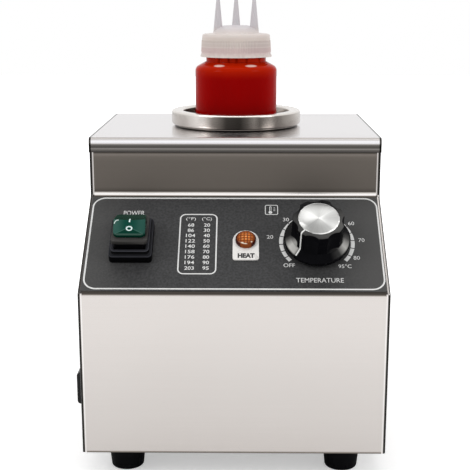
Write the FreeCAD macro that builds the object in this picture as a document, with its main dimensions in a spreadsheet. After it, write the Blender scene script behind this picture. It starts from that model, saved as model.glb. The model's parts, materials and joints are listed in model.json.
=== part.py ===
"""Countertop sauce warmer: a bent steel case with one heated well, and a squeeze bottle standing in it.

Millimetres. X runs to the right, Y to the back and Z up. The origin is on the table, under the middle of the whole
outline: the inlet stands out at the left, so the case lies a little to the right of it. Bodies are drawn round the
middle of the case and then shifted.
Pieces on the sloped panel are drawn lying flat and then tilted: x along the panel, y up its slope, z off its face.
"""

import FreeCAD
import Part
import math
import os

from FreeCAD import Placement, Rotation, Vector

SIZES = {
    # Case sheets
    "case_width": 220.0,
    "case_depth": 243.0,
    "foot_height": 20.0,
    "front_height": 120.0,
    "panel_run": 75.0,
    "panel_rise": 56.0,
    "upper_height": 44.0,
    "case_sheet": 1.2,
    "cover_sheet": 1.0,
    "fold_radius": 4.0,
    "hem_width": 3.2,
    "side_bend": 2.0,
    "rear_flange": 14.0,
    "lip_height": 11.0,
    "cover_bend": 3.5,
    "base_flange": 12.0,
    "cut_overrun": 5.0,
    "slide_gap": 0.3,
    # Vents
    "slot_length": 34.0,
    "slot_width": 3.2,
    "slot_pitch": 8.0,
    "slot_rows": 7,
    "slot_end_share": 0.49,
    "slot_column": 28.0,
    "rear_vent_base": 62.0,
    "base_vent_setback": 24.0,
    # Control label
    "label_sheet": 0.4,
    "label_left_inset": 2.2,
    "label_right_inset": 2.7,
    "label_low": 2.2,
    "label_high_inset": 2.2,
    "label_corner": 1.5,
    # Power switch
    "switch_share": -0.3391,
    "switch_up": 46.0,
    "boot_side": 1.7,
    "boot_end": 1.9,
    "boot_corner": 3.0,
    "boot_round": 0.9,
    "boot_height_share": 0.65,
    "tier_side": 2.35,
    "tier_end": 1.8,
    "collar_side": 1.65,
    "collar_end": 4.0,
    "collar_corner": 2.2,
    "collar_low": 0.6,
    "collar_top": 2.3,
    "collar_ledge": 1.6,
    "bellows_side": 1.8,
    "bellows_end": 1.5,
    "bellows_corner": 2.0,
    "bellows_wall": 1.3,
    "bellows_low": 7.0,
    "case_across": 20.0,
    "case_along": 26.0,
    "case_below": 22.0,
    "rocker_width": 22.6,
    "rocker_half": 11.0,
    "rocker_crown": 10.2,
    "rocker_face_tilt": 25.7,
    "rocker_tilt": 10.0,
    "rocker_skirt": 0.6,
    "rocker_wall": 1.3,
    "rocker_clip": 3.0,
    "rocker_round": 0.6,
    "pivot_height": 14.6,
    "pivot_radius": 1.0,
    "pivot_fit": 0.05,
    "boss_radius": 2.6,
    "boss_width": 8.0,
    "lug_sheet": 2.0,
    "blade_width": 6.3,
    "blade_sheet": 0.8,
    "blade_length": 9.0,
    "blade_row": 7.5,
    # Heat lamp
    "lamp_share": 0.0377,
    "lamp_up": 47.9,
    "plate_sheet": 1.0,
    "plate_radius": 9.5,
    "plate_drop": 18.0,
    "plate_corner": 2.0,
    "lens_radius": 7.5,
    "lens_wall_height": 2.2,
    "lens_dome": 2.2,
    "lens_shoulder_radius": 5.2,
    "lens_crown": 0.5,
    "lens_groove": 0.7,
    "lens_pitch": 2.4,
    "lens_groove_depth": 0.8,
    "barrel_radius": 5.9,
    "barrel_length": 24.0,
    "lamp_nut_across": 15.0,
    "lamp_nut_height": 3.0,
    "lamp_pin_radius": 0.8,
    "lamp_pin_row": 2.6,
    "lamp_pin_length": 6.0,
    # Thermostat and its knob
    "knob_share": 0.2732,
    "knob_up": 47.0,
    "bush_radius": 4.7,
    "bush_top": 7.5,
    "spindle_radius": 3.0,
    "spindle_fit": 0.05,
    "spindle_flat": 2.3,
    "spindle_top": 22.0,
    "spindle_depth": 14.0,
    "stat_plate": 36.0,
    "stat_plate_sheet": 2.0,
    "stat_width": 32.0,
    "stat_corner": 4.0,
    "stat_depth": 24.0,
    "stat_nut_across": 13.0,
    "stat_nut_height": 2.5,
    "knob_gap": 3.0,
    "skirt_radius": 24.2,
    "skirt_edge": 1.8,
    "skirt_top_radius": 23.5,
    "skirt_top": 5.6,
    "grip_radius": 18.9,
    "grip_foot": 9.6,
    "grip_foot_round": 0.8,
    "grip_top_radius": 18.6,
    "grip_top": 27.0,
    "flute_count": 7,
    "flute_radius": 9.0,
    "flute_depth": 2.3,
    "flute_below_foot": 0.4,
    "pointer_angle": 226.0,
    "knob_hollow": 19.0,
    "hollow_top": 8.2,
    "disc_radius": 14.75,
    "disc_seat": 25.9,
    "disc_sheet": 1.5,
    "disc_bevel": 0.5,
    # Power inlet in the left side
    "inlet_from_front": 35.5,
    "inlet_up": 42.0,
    "inlet_length": 31.0,
    "inlet_height": 25.1,
    "inlet_proud": 5.7,
    "inlet_edge": 2.6,
    "inlet_body_length": 27.0,
    "inlet_body_height": 19.6,
    "inlet_body_depth": 20.0,
    "socket_length": 23.4,
    "socket_height": 16.0,
    "socket_corner": 4.0,
    "socket_depth": 19.0,
    "pin_width": 2.0,
    "pin_height": 4.0,
    "pin_length": 12.5,
    "pin_pitch": 7.0,
    "pin_rise": 2.2,
    "tab_length": 8.0,
    # Well
    "pot_radius": 43.0,
    "pot_wall": 1.2,
    "pot_depth": 140.0,
    "pot_corner": 6.0,
    "pot_flange": 50.5,
    "pot_flange_sheet": 1.5,
    "deck_hole_gap": 0.5,
    "ring_bore": 43.5,
    "ring_radius": 53.0,
    "ring_height": 11.4,
    "ring_inner_round": 1.6,
    "ring_top_round": 1.6,
    "ring_foot_round": 2.2,
    # Heater
    "heater_from_floor": 6.0,
    "heater_share": 0.43,
    "heater_sheet": 3.0,
    "heater_split": 8.0,
    "heater_lug": 10.0,
    "heater_lug_sheet": 2.5,
    "heater_screw_radius": 2.0,
    "heater_screw_inset": 14.0,
    "heater_head_radius": 3.6,
    "heater_head_height": 2.8,
    "jacket_sheet": 9.0,
    "jacket_trim": 3.0,
    "jacket_gate": 34.0,
    # Sensing bulb
    "bulb_radius": 3.0,
    "bulb_clearance": 10.0,
    "bulb_from_deck": 18.0,
    "capillary_radius": 0.9,
    "capillary_bend": 6.0,
    "capillary_drop": 7.0,
    "capillary_reach": 22.0,
    "capillary_lead": 14.0,
    "strap_sheet": 0.8,
    "strap_height": 12.0,
    # Thermal cut-out
    "cutout_radius": 8.0,
    "cutout_height": 9.0,
    "cutout_flange_length": 30.0,
    "cutout_flange_width": 10.0,
    "cutout_flange_sheet": 1.0,
    "cutout_stud_radius": 1.5,
    "cutout_stud_length": 6.0,
    "cutout_stud_inset": 3.6,
    "cutout_nut_across": 5.5,
    "cutout_nut_height": 2.4,
    # Feet
    "foot_from_side": 30.0,
    "foot_setback": 25.0,
    "foot_top_radius": 14.0,
    "foot_bottom_radius": 11.9,
    "foot_round": 1.6,
    "foot_hole": 2.6,
    "foot_recess_radius": 6.0,
    "foot_recess": 12.0,
    "foot_screw_radius": 2.3,
    "foot_screw_length": 16.0,
    "foot_head_radius": 4.5,
    "foot_head_height": 3.0,
    "foot_nut_across": 8.0,
    "foot_nut_height": 3.4,
    # Screws of the rear panel and the cover
    "rear_screw_inset": 9.0,
    "rear_screw_margin": 26.0,
    "rear_head_radius": 3.6,
    "rear_head_height": 2.2,
    "rear_shank_radius": 1.9,
    "rear_shank_length": 8.0,
    # Terminal block and earth stud on the base
    "block_from_side": 38.0,
    "block_back": -6.0,
    "block_length": 36.0,
    "block_width": 18.0,
    "block_height": 15.0,
    "block_step": 5.0,
    "block_ways": 3,
    "block_pitch": 11.0,
    "block_bore": 2.2,
    "block_screw_radius": 1.9,
    "block_screw_bore": 2.2,
    "block_screw_height": 6.0,
    "earth_from_side": 38.0,
    "earth_back": 34.0,
    "earth_radius": 2.0,
    "earth_length": 14.0,
    "earth_nut_across": 7.0,
    "earth_nut_height": 3.2,
    # Squeeze bottle
    "bottle_radius": 33.4,
    "bottle_wall": 1.4,
    "bottle_shoulder": 47.4,
    "bottle_shoulder_rise": 4.9,
    "bottle_shoulder_round": 5.0,
    "bottle_foot_round": 3.0,
    "bottle_punt": 2.0,
    "bottle_punt_radius": 26.0,
    "bottle_standing_radius": 28.5,
    "neck_radius": 24.4,
    "neck_bore": 22.8,
    "neck_top": 71.0,
    "sauce_gap": 0.15,
    "sauce_level": 56.5,
    "gasket_sheet": 1.2,
    "gasket_bore": 20.0,
    # Nozzle cap
    "cap_bore": 25.7,
    "cap_foot": 55.9,
    "cap_foot_radius": 29.1,
    "cap_bead_height": 1.0,
    "cap_bead_slope": 1.4,
    "cap_side_radius": 28.3,
    "cap_top_radius": 27.5,
    "cap_top": 73.9,
    "cap_round": 2.0,
    "cap_crown_radius": 19.0,
    "cap_crown_rise": 0.9,
    "dome_radius": 10.0,
    "dome_shoulder_radius": 15.5,
    "dome_shoulder": 78.2,
    "dome_top": 80.8,
    "dome_wall": 1.6,
    "nozzle_pitch": 14.6,
    "nozzle_base": 73.4,
    "nozzle_base_radius": 4.1,
    "nozzle_top": 101.5,
    "nozzle_tip_radius": 1.4,
    "nozzle_base_bore": 2.9,
    "nozzle_bore": 0.8,
}

document = FreeCAD.newDocument("SauceWarmer")


class Size:
    """A size with its value now and the sheet formula that keeps a property at it."""

    def __init__(self, value, formula):
        self.value = value
        self.formula = formula

    def __add__(self, other):
        return Size(self.value + value_of(other), f"({self.formula} + {formula_of(other)})")

    def __sub__(self, other):
        return Size(self.value - value_of(other), f"({self.formula} - {formula_of(other)})")

    def __mul__(self, other):
        return Size(self.value * value_of(other), f"({self.formula} * {formula_of(other)})")

    def __truediv__(self, other):
        return Size(self.value / value_of(other), f"({self.formula} / {formula_of(other)})")

    def __neg__(self):
        return Size(-self.value, f"(-1 * {self.formula})")

    __radd__ = __add__
    __rmul__ = __mul__


def value_of(size):
    """The plain number of a size or a number."""
    return size.value if isinstance(size, Size) else float(size)


def formula_of(size):
    """The sheet formula of a size or a number."""
    return size.formula if isinstance(size, Size) else repr(size)


def sine(angle):
    """The sine of an angle in degrees."""
    return Size(math.sin(math.radians(angle.value)), f"sin({angle.formula})")


def cosine(angle):
    """The cosine of an angle in degrees."""
    return Size(math.cos(math.radians(angle.value)), f"cos({angle.formula})")


def root(size):
    """The square root of a size."""
    return Size(math.sqrt(size.value), f"sqrt({size.formula})")


def make_sheet():
    """Write every driving dimension into the sheet and hand each back as a Size."""
    sheet = document.addObject("Spreadsheet::Sheet", "Sizes")
    for row, (name, number) in enumerate(SIZES.items(), start=1):
        sheet.set(f"A{row}", name)
        sheet.set(f"B{row}", str(number))
        sheet.setAlias(f"B{row}", name)
    document.recompute()
    return {name: Size(float(sheet.get(name)), f"Sizes.{name}") for name in SIZES}


D = make_sheet()
ZERO = Size(0.0, "0")
FULL_TURN = Size(360.0, "360")

half_width = D["case_width"] / 2
front = -D["case_depth"] / 2
back = D["case_depth"] / 2
floor = D["foot_height"]
fold = floor + D["front_height"]
crease = fold + D["panel_rise"]
deck = crease + D["upper_height"]
under = deck - D["cover_sheet"]
upper = front + D["panel_run"]
sheet_in = D["case_sheet"]
through = D["cut_overrun"] * 2
case_middle = D["inlet_proud"] / 2
well_back = (upper + back) / 2
well_floor = deck - D["pot_depth"]
slope_length = root(D["panel_run"] * D["panel_run"] + D["panel_rise"] * D["panel_rise"])
slope_cosine = D["panel_run"] / slope_length
slope_sine = D["panel_rise"] / slope_length
slope = Size(
    math.degrees(math.atan2(D["panel_rise"].value, D["panel_run"].value)),
    "atan(Sizes.panel_rise / Sizes.panel_run)",
)
# How far the inside of a fold lies below its outside, for one sheet's thickness.
lean = sheet_in * (1 - slope_sine.value) / slope_cosine.value
lean = Size(lean.value, f"(Sizes.case_sheet * (1 - {slope_sine.formula}) / {slope_cosine.formula})")
pot_outside = D["pot_radius"] + D["pot_wall"]
heater_height = D["pot_depth"] * D["heater_share"]
label_top = D["label_sheet"]
label_left = half_width - D["label_left_inset"]
label_right = half_width - D["label_right_inset"]
switch_across = D["case_width"] * D["switch_share"]
lamp_across = D["case_width"] * D["lamp_share"]
knob_across = D["case_width"] * D["knob_share"]
block_across = D["block_from_side"] - half_width
earth_across = D["earth_from_side"] - half_width


def bind(thing, path, size):
    """Hold a property of a document object at a size."""
    thing.setExpression(path, size.formula)


def place(thing, x=ZERO, y=ZERO, z=ZERO, tilt=None):
    """Move a body to a point, counted from the middle of the case and turned about X by the tilt."""
    x = x + case_middle
    spin = Rotation(Vector(1, 0, 0), tilt.value if tilt else 0)
    thing.Placement = Placement(Vector(x.value, y.value, z.value), spin)
    for axis, size in (("x", x), ("y", y), ("z", z)):
        bind(thing, f"Placement.Base.{axis}", size)
    if tilt:
        bind(thing, "Placement.Rotation.Angle", tilt)


def place_on_panel(thing, across=ZERO, up=ZERO, off=ZERO):
    """Lay a body on the sloped panel, at a point across, up the slope and off the face."""
    y = front + up * slope_cosine - off * slope_sine
    z = fold + up * slope_sine + off * slope_cosine
    place(thing, across, y, z, slope)


def new_body(name, several=False):
    """A PartDesign body with its node name, which may hold several loose solids of one kind."""
    body = document.addObject("PartDesign::Body", name)
    body.Label = name
    if several:
        body.AllowCompound = True
    place(body)
    return body


class Drawing:
    """A sketch on one of its body's own planes, with each of its points held to named sizes."""

    def __init__(self, body, plane, lift=ZERO, shift=None, tilt=None):
        self.body = body
        self.sketch = body.newObject("Sketcher::SketchObject", f"{body.Name}Sketch")
        origin = next(item for item in body.Origin.OriginFeatures if item.Role == f"{plane}_Plane")
        self.sketch.AttachmentSupport = [(origin, "")]
        self.sketch.MapMode = "FlatFace"
        x, y = shift or (ZERO, ZERO)
        spin = Rotation(Vector(1, 0, 0), tilt.value if tilt else 0)
        self.sketch.AttachmentOffset = Placement(Vector(x.value, y.value, lift.value), spin)
        for axis, size in (("x", x), ("y", y), ("z", lift)):
            bind(self.sketch, f"AttachmentOffset.Base.{axis}", size)
        if tilt:
            bind(self.sketch, "AttachmentOffset.Rotation.Angle", tilt)

    def hold(self, kind, numbers, size):
        """Add a constraint that the sheet drives."""
        import Sketcher

        index = self.sketch.addConstraint(Sketcher.Constraint(kind, *numbers, size.value))
        self.sketch.setExpression(f"Constraints[{index}]", size.formula)

    def tie(self, kind, *numbers):
        """Add a constraint without a size."""
        import Sketcher

        self.sketch.addConstraint(Sketcher.Constraint(kind, *numbers))

    def pin(self, piece, end, x, y):
        """Hold one point of a line, an arc or a circle at x and y."""
        if x is ZERO:
            self.tie("PointOnObject", piece, end, -2)
        else:
            self.hold("DistanceX", (piece, end), x)
        if y is ZERO:
            self.tie("PointOnObject", piece, end, -1)
        else:
            self.hold("DistanceY", (piece, end), y)

    def outline(self, *points):
        """A closed outline of straight lines through the points."""
        first = self.sketch.GeometryCount
        corners = [Vector(x.value, y.value, 0) for x, y in points]
        for start, end in zip(corners, corners[1:] + corners[:1]):
            self.sketch.addGeometry(Part.LineSegment(start, end))
        for step, (x, y) in enumerate(points):
            self.tie("Coincident", first + (step - 1) % len(points), 2, first + step, 1)
            self.pin(first + step, 1, x, y)
        return self

    def box(self, left, right, low, high):
        """A rectangle between four sizes."""
        return self.outline((left, low), (right, low), (right, high), (left, high))

    def middle_box(self, width, height, x=ZERO, y=ZERO):
        """A rectangle round a centre."""
        return self.box(x - width / 2, x + width / 2, y - height / 2, y + height / 2)

    def circle(self, radius, x=ZERO, y=ZERO):
        """A circle round a centre."""
        shape = Part.Circle(Vector(x.value, y.value, 0), Vector(0, 0, 1), radius.value)
        piece = self.sketch.addGeometry(shape)
        self.pin(piece, 3, x, y)
        self.hold("Radius", (piece,), radius)
        return self

    def round_box(self, width, height, radius, x=ZERO, y=ZERO):
        """A rectangle round a centre, with a quarter arc at each corner."""
        first = self.sketch.GeometryCount
        reach_x = width / 2 - radius
        reach_y = height / 2 - radius
        quarters = ((1, 1), (-1, 1), (-1, -1), (1, -1))
        for step, (side_x, side_y) in enumerate(quarters):
            middle = Vector(x.value + side_x * reach_x.value, y.value + side_y * reach_y.value, 0)
            circle = Part.Circle(middle, Vector(0, 0, 1), radius.value)
            start = math.pi / 2 * step
            self.sketch.addGeometry(Part.ArcOfCircle(circle, start, start + math.pi / 2))
            self.pin(first + step, 3, x + side_x * reach_x, y + side_y * reach_y)
            self.hold("Radius", (first + step,), radius)
        for step in range(4):
            here = self.sketch.Geometry[first + step]
            there = self.sketch.Geometry[first + (step + 1) % 4]
            line = self.sketch.addGeometry(Part.LineSegment(here.EndPoint, there.StartPoint))
            self.tie("Tangent", first + step, 2, line, 1)
            self.tie("Tangent", line, 2, first + (step + 1) % 4, 1)
        return self

    def cut_circle(self, radius, flat):
        """A circle round the origin with its upper part cut straight off at a height."""
        reach = root(radius * radius - flat * flat)
        start = math.atan2(flat.value, -reach.value)
        end = math.atan2(flat.value, reach.value) + 2 * math.pi
        circle = Part.Circle(Vector(0, 0, 0), Vector(0, 0, 1), radius.value)
        arc = self.sketch.addGeometry(Part.ArcOfCircle(circle, start, end))
        here = self.sketch.Geometry[arc]
        line = self.sketch.addGeometry(Part.LineSegment(here.EndPoint, here.StartPoint))
        self.tie("Coincident", arc, 3, -1, 1)
        self.hold("Radius", (arc,), radius)
        self.tie("Coincident", arc, 2, line, 1)
        self.tie("Coincident", line, 2, arc, 1)
        self.tie("Horizontal", line)
        self.hold("DistanceY", (line, 1), flat)
        return self

    def belt(self, large, small, apart):
        """A belt's outline round a circle at the origin and a smaller one below it."""
        turn = math.asin((large.value - small.value) / apart.value)
        middle = Vector(0, -apart.value, 0)
        big = Part.Circle(Vector(0, 0, 0), Vector(0, 0, 1), large.value)
        little = Part.Circle(middle, Vector(0, 0, 1), small.value)
        over = self.sketch.addGeometry(Part.ArcOfCircle(big, -turn, math.pi + turn))
        below = self.sketch.addGeometry(Part.ArcOfCircle(little, math.pi + turn, 2 * math.pi - turn))
        here = self.sketch.Geometry[over]
        there = self.sketch.Geometry[below]
        left = self.sketch.addGeometry(Part.LineSegment(here.EndPoint, there.StartPoint))
        right = self.sketch.addGeometry(Part.LineSegment(there.EndPoint, here.StartPoint))
        self.tie("Coincident", over, 3, -1, 1)
        self.pin(below, 3, ZERO, -apart)
        self.hold("Radius", (over,), large)
        self.hold("Radius", (below,), small)
        self.tie("Tangent", over, 2, left, 1)
        self.tie("Tangent", left, 2, below, 1)
        self.tie("Tangent", below, 2, right, 1)
        self.tie("Tangent", right, 2, over, 1)
        return self

    def arch(self, radius, drop):
        """A half circle on top of a rectangle that hangs a drop below its centre."""
        circle = Part.Circle(Vector(0, 0, 0), Vector(0, 0, 1), radius.value)
        arc = self.sketch.addGeometry(Part.ArcOfCircle(circle, 0, math.pi))
        low_left = Vector(-radius.value, -drop.value, 0)
        low_right = Vector(radius.value, -drop.value, 0)
        left = self.sketch.addGeometry(Part.LineSegment(Vector(-radius.value, 0, 0), low_left))
        base = self.sketch.addGeometry(Part.LineSegment(low_left, low_right))
        right = self.sketch.addGeometry(Part.LineSegment(low_right, Vector(radius.value, 0, 0)))
        self.tie("Coincident", arc, 3, -1, 1)
        self.hold("Radius", (arc,), radius)
        self.tie("Tangent", arc, 2, left, 1)
        self.tie("Coincident", left, 2, base, 1)
        self.tie("Coincident", base, 2, right, 1)
        self.tie("Tangent", right, 2, arc, 1)
        self.tie("Vertical", left)
        self.tie("Horizontal", base)
        self.hold("DistanceY", (base, 1), -drop)
        return self

    def pad(self, length, both=False, down=False, taper=None):
        """Raise the drawing into a solid."""
        return self.sweep("PartDesign::Pad", length, both, down, taper)

    def pocket(self, length, both=False, up=False, taper=None):
        """Cut the drawing out of the body, and make sure that it cuts."""
        before = self.body.Shape.Volume
        feature = self.sweep("PartDesign::Pocket", length, both, up, taper)
        if not self.body.Shape.Volume < before:
            raise RuntimeError(f"{self.body.Label}: a pocket cuts nothing")
        return feature

    def sweep(self, kind, length, both, reverse, taper):
        """A pad or a pocket with its length held to the sheet."""
        feature = self.body.newObject(kind, f"{self.body.Name}{kind.split('::')[1]}")
        feature.Profile = self.sketch
        feature.SideType = "Symmetric" if both else "One side"
        feature.Reversed = reverse
        bind(feature, "Length", length)
        if taper:
            bind(feature, "TaperAngle", taper)
        document.recompute()
        return feature

    def spin(self, kind="Revolution"):
        """Turn the drawing about its upright axis into a solid."""
        feature = self.body.newObject(f"PartDesign::{kind}", f"{self.body.Name}{kind}")
        feature.Profile = self.sketch
        feature.ReferenceAxis = (self.sketch, ["V_Axis"])
        document.recompute()
        return feature

    def groove(self):
        """Turn the drawing about its upright axis and cut it out of the body."""
        return self.spin("Groove")


def edges_at(feature, points):
    """The names of the feature's edges that pass through the points."""
    names = []
    for point in points:
        spot = Part.Vertex(Vector(*(value_of(number) for number in point)))
        gaps = [edge.distToShape(spot)[0] for edge in feature.Shape.Edges]
        names.append(f"Edge{gaps.index(min(gaps)) + 1}")
    return sorted(set(names))


def soften(body, kind, size, *points):
    """Fillet or chamfer the edges of the body that pass through the points."""
    base = body.Tip
    feature = body.newObject(f"PartDesign::{kind}", f"{body.Name}{kind}")
    feature.Base = (base, edges_at(base, points))
    bind(feature, "Radius" if kind == "Fillet" else "Size", size)
    document.recompute()
    return feature


def fillet(body, radius, *points):
    """Round the edges of the body that pass through the points."""
    return soften(body, "Fillet", radius, *points)


def chamfer(body, size, *points):
    """Bevel the edges of the body that pass through the points."""
    return soften(body, "Chamfer", size, *points)


def row_pattern(body, feature, drawing, pitch, count, axis="V_Axis"):
    """Repeat a feature in a row along an axis of its sketch."""
    pattern = body.newObject("PartDesign::LinearPattern", f"{body.Name}Row")
    pattern.Originals = [feature]
    pattern.Direction = (drawing.sketch, [axis])
    bind(pattern, "Length", pitch * (count - 1))
    bind(pattern, "Occurrences", count)
    body.Tip = pattern
    document.recompute()
    return pattern


def from_shapes(name, shapes):
    """A node of several loose solids that are alike."""
    feature = document.addObject("Part::Feature", name)
    feature.Label = name
    feature.Shape = Part.makeCompound(shapes)
    place(feature)
    return feature


def taper_of(narrowing, length):
    """The angle by which a round piece of a length narrows."""
    share = narrowing / length
    return Size(math.degrees(math.atan(share.value)), f"atan({share.formula})")


def hexagon(across, height, bore=None):
    """A hexagonal nut standing on the XY plane."""
    radius = across.value / math.sqrt(3)
    corners = [
        Vector(radius * math.cos(math.pi / 3 * step), radius * math.sin(math.pi / 3 * step), 0)
        for step in range(7)
    ]
    nut = Part.Face(Part.makePolygon(corners)).extrude(Vector(0, 0, height.value))
    if bore is None:
        return nut
    return nut.cut(Part.makeCylinder(bore.value, height.value))


def screw(head_radius, head_height, shank_radius, shank_length):
    """A pan head screw, its head standing on the XY plane and its shank hanging below."""
    head = Part.makeCylinder(head_radius.value, head_height.value)
    rim = [edge for edge in head.Edges if abs(edge.CenterOfMass.z - head_height.value) < head_height.value / 4]
    head = head.makeFillet(head_height.value / 2, [edge for edge in rim if edge.Length > head_radius.value * 4])
    shank = Part.makeCylinder(
        shank_radius.value, shank_length.value, Vector(0, 0, 0), Vector(0, 0, -1)
    )
    return head.fuse(shank).removeSplitter()


def moved(shape, x, y, z, turn=None):
    """A copy of a shape, turned and then put at a point."""
    copy = shape.copy()
    copy.Placement = Placement(
        Vector(value_of(x), value_of(y), value_of(z)), turn or Rotation()
    ).multiply(copy.Placement)
    return copy


def panel_point(across, up, off):
    """The place of a point of the sloped panel, as a vector."""
    y = front + up * slope_cosine - off * slope_sine
    z = fold + up * slope_sine + off * slope_cosine
    return Vector(value_of(across), y.value, z.value)


def panel_holes(body):
    """Cut the holes of the switch, the lamp and the thermostat through a sheet of the panel."""
    if body.Placement.Rotation.Angle:
        drawing = Drawing(body, "XY")
    else:
        drawing = Drawing(body, "XY", lift=fold, shift=(ZERO, front), tilt=slope)
    clearance = D["slide_gap"] * 2
    drawing.middle_box(
        D["case_across"] + clearance, D["case_along"] + clearance, switch_across, D["switch_up"]
    )
    drawing.circle(D["barrel_radius"] + D["slide_gap"], lamp_across, D["lamp_up"])
    drawing.circle(D["bush_radius"] + D["slide_gap"], knob_across, D["knob_up"])
    drawing.pocket(through, both=True)


def make_front_shell():
    """Lower front, sloped panel and upper front, bent from one sheet."""
    body = new_body("front_shell")
    top = deck - D["cover_bend"]
    drawing = Drawing(body, "YZ").outline(
        (front, floor),
        (front, fold),
        (upper, crease),
        (upper, top),
        (upper + sheet_in, top),
        (upper + sheet_in, crease - lean),
        (front + sheet_in, fold - lean),
        (front + sheet_in, floor),
    )
    drawing.pad(D["case_width"] - D["hem_width"] * 2, both=True)
    fillet(body, D["fold_radius"], (0, front, fold), (0, upper, crease))
    fillet(body, D["fold_radius"] - sheet_in, (0, front + sheet_in, fold - lean))
    fillet(body, D["fold_radius"] + sheet_in, (0, upper + sheet_in, crease - lean))
    panel_holes(body)
    return body


def make_side_panel(name, side):
    """A side sheet with a narrow hem round its edges and a wide flange behind for the rear screws."""
    body = new_body(name)
    outer_left = half_width - D["hem_width"] if side > 0 else -half_width
    hem_plane = side * (half_width - D["hem_width"])
    body_width = D["hem_width"]
    drawing = Drawing(body, "YZ", lift=outer_left).outline(
        (front, floor),
        (front, fold),
        (upper, crease),
        (upper, under),
        (back, under),
        (back, floor),
    )
    drawing.pad(body_width)
    hem_middle = side * (half_width - D["hem_width"] / 2)
    fillet(body, D["fold_radius"], (hem_middle, front, fold), (hem_middle, upper, crease))
    fillet(body, D["cover_bend"], (hem_middle, upper, under))
    tray = Drawing(body, "YZ", lift=hem_plane).outline(
        (front + sheet_in, floor - D["cut_overrun"]),
        (front + sheet_in, fold - lean),
        (upper + sheet_in, crease - lean),
        (upper + sheet_in, under - D["cover_bend"]),
        (upper + D["cover_bend"], under - sheet_in),
        (back - sheet_in, under - sheet_in),
        (back - sheet_in, floor - D["cut_overrun"]),
    )
    tray.pocket((D["hem_width"] - sheet_in) * 2, both=True)
    inner = side * (half_width - D["hem_width"] + (D["hem_width"] - sheet_in) / 2)
    fillet(body, D["fold_radius"] - sheet_in, (inner, front + sheet_in, fold - lean))
    fillet(body, D["fold_radius"] + sheet_in, (inner, upper + sheet_in, crease - lean))
    outside = side * half_width
    fillet(
        body,
        D["side_bend"],
        (outside, front, (floor + fold) / 2),
        (outside, (front + upper) / 2, (fold + crease) / 2),
        (outside, upper, (crease + under) / 2),
    )
    flange = Drawing(body, "XY", lift=floor + D["base_flange"] + D["slide_gap"])
    near = side * (half_width - sheet_in)
    far = side * (half_width - D["rear_flange"])
    left, right = (far, near) if side > 0 else (near, far)
    flange.box(left, right, back - sheet_in * 2, back - sheet_in)
    flange.pad(under - sheet_in - floor - D["base_flange"] - D["slide_gap"])
    screws = Drawing(body, "XZ", lift=-back)
    for height in rear_screw_heights():
        x = side * (half_width - D["rear_screw_inset"])
        screws.circle(D["rear_shank_radius"] + D["spindle_fit"], x, height)
    screws.pocket(through, both=True)
    if side < 0:
        hole = Drawing(body, "YZ", lift=-half_width)
        clearance = D["slide_gap"] * 2
        hole.middle_box(
            D["inlet_body_length"] + clearance,
            D["inlet_body_height"] + clearance,
            front + D["inlet_from_front"],
            floor + D["inlet_up"],
        )
        hole.pocket(through, both=True)
    return body


def make_top_cover():
    """The deck, with a lip bent down at the front and at the back and the round hole of the well."""
    body = new_body("top_cover")
    sheet = D["cover_sheet"]
    low = deck - D["lip_height"]
    drawing = Drawing(body, "YZ").outline(
        (upper - sheet, low),
        (upper - sheet, deck),
        (back + sheet, deck),
        (back + sheet, low),
        (back, low),
        (back, under),
        (upper, under),
        (upper, low),
    )
    drawing.pad(D["case_width"], both=True)
    fillet(body, D["cover_bend"], (0, upper - sheet, deck))
    fillet(body, D["cover_bend"] - sheet, (0, upper, under))
    fillet(body, sheet, (0, back + sheet, deck))
    hole = Drawing(body, "XY", lift=deck)
    hole.circle(pot_outside + D["deck_hole_gap"], ZERO, well_back)
    hole.pocket(through, both=True)
    return body


def make_rear_panel():
    """The flat back with two columns of vent slots."""
    body = new_body("rear_panel")
    reach = half_width - D["hem_width"]
    drawing = Drawing(body, "XZ", lift=-back)
    drawing.box(-reach, reach, floor, under)
    drawing.pad(sheet_in)
    slots = Drawing(body, "XZ", lift=-back)
    low = floor + D["rear_vent_base"]
    for side in (-1, 1):
        slots.round_box(
            D["slot_length"], D["slot_width"], D["slot_width"] * D["slot_end_share"], side * D["slot_column"], low
        )
    cut = slots.pocket(through, both=True)
    row_pattern(body, cut, slots, D["slot_pitch"], D["slot_rows"])
    holes = Drawing(body, "XZ", lift=-back)
    for side in (-1, 1):
        for height in rear_screw_heights():
            x = side * (half_width - D["rear_screw_inset"])
            holes.circle(D["rear_shank_radius"] + D["slide_gap"], x, height)
    holes.pocket(through, both=True)
    return body


def rear_screw_heights():
    """The two heights of the rear panel's screws."""
    return (floor + D["rear_screw_margin"], under - D["rear_screw_margin"])


def make_base_plate():
    """The floor of the case, turned up at both sides, with vents and the holes of the feet."""
    body = new_body("base_plate")
    reach = half_width - sheet_in
    top = floor + D["base_flange"]
    drawing = Drawing(body, "XZ").outline(
        (-reach, floor),
        (reach, floor),
        (reach, top),
        (reach - sheet_in, top),
        (reach - sheet_in, floor + sheet_in),
        (-reach + sheet_in, floor + sheet_in),
        (-reach + sheet_in, top),
        (-reach, top),
    )
    drawing.pad(D["case_depth"] - sheet_in * 2, both=True)
    slots = Drawing(body, "XY", lift=floor)
    for side in (-1, 1):
        slots.round_box(
            D["slot_length"],
            D["slot_width"],
            D["slot_width"] * D["slot_end_share"],
            side * D["slot_column"],
            well_back - D["base_vent_setback"],
        )
    cut = slots.pocket(through, both=True)
    row_pattern(body, cut, slots, D["slot_pitch"], D["slot_rows"])
    holes = Drawing(body, "XY", lift=floor)
    for x, y in foot_places():
        holes.circle(D["foot_hole"], x, y)
    holes.circle(D["earth_radius"] + D["slide_gap"], earth_across, D["earth_back"])
    holes.pocket(through, both=True)
    return body


def foot_places():
    """The places of the four feet: front left, front right, rear left and rear right."""
    reach = back - D["foot_setback"]
    across = half_width - D["foot_from_side"]
    return ((-across, -reach), (across, -reach), (-across, reach), (across, reach))


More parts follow.
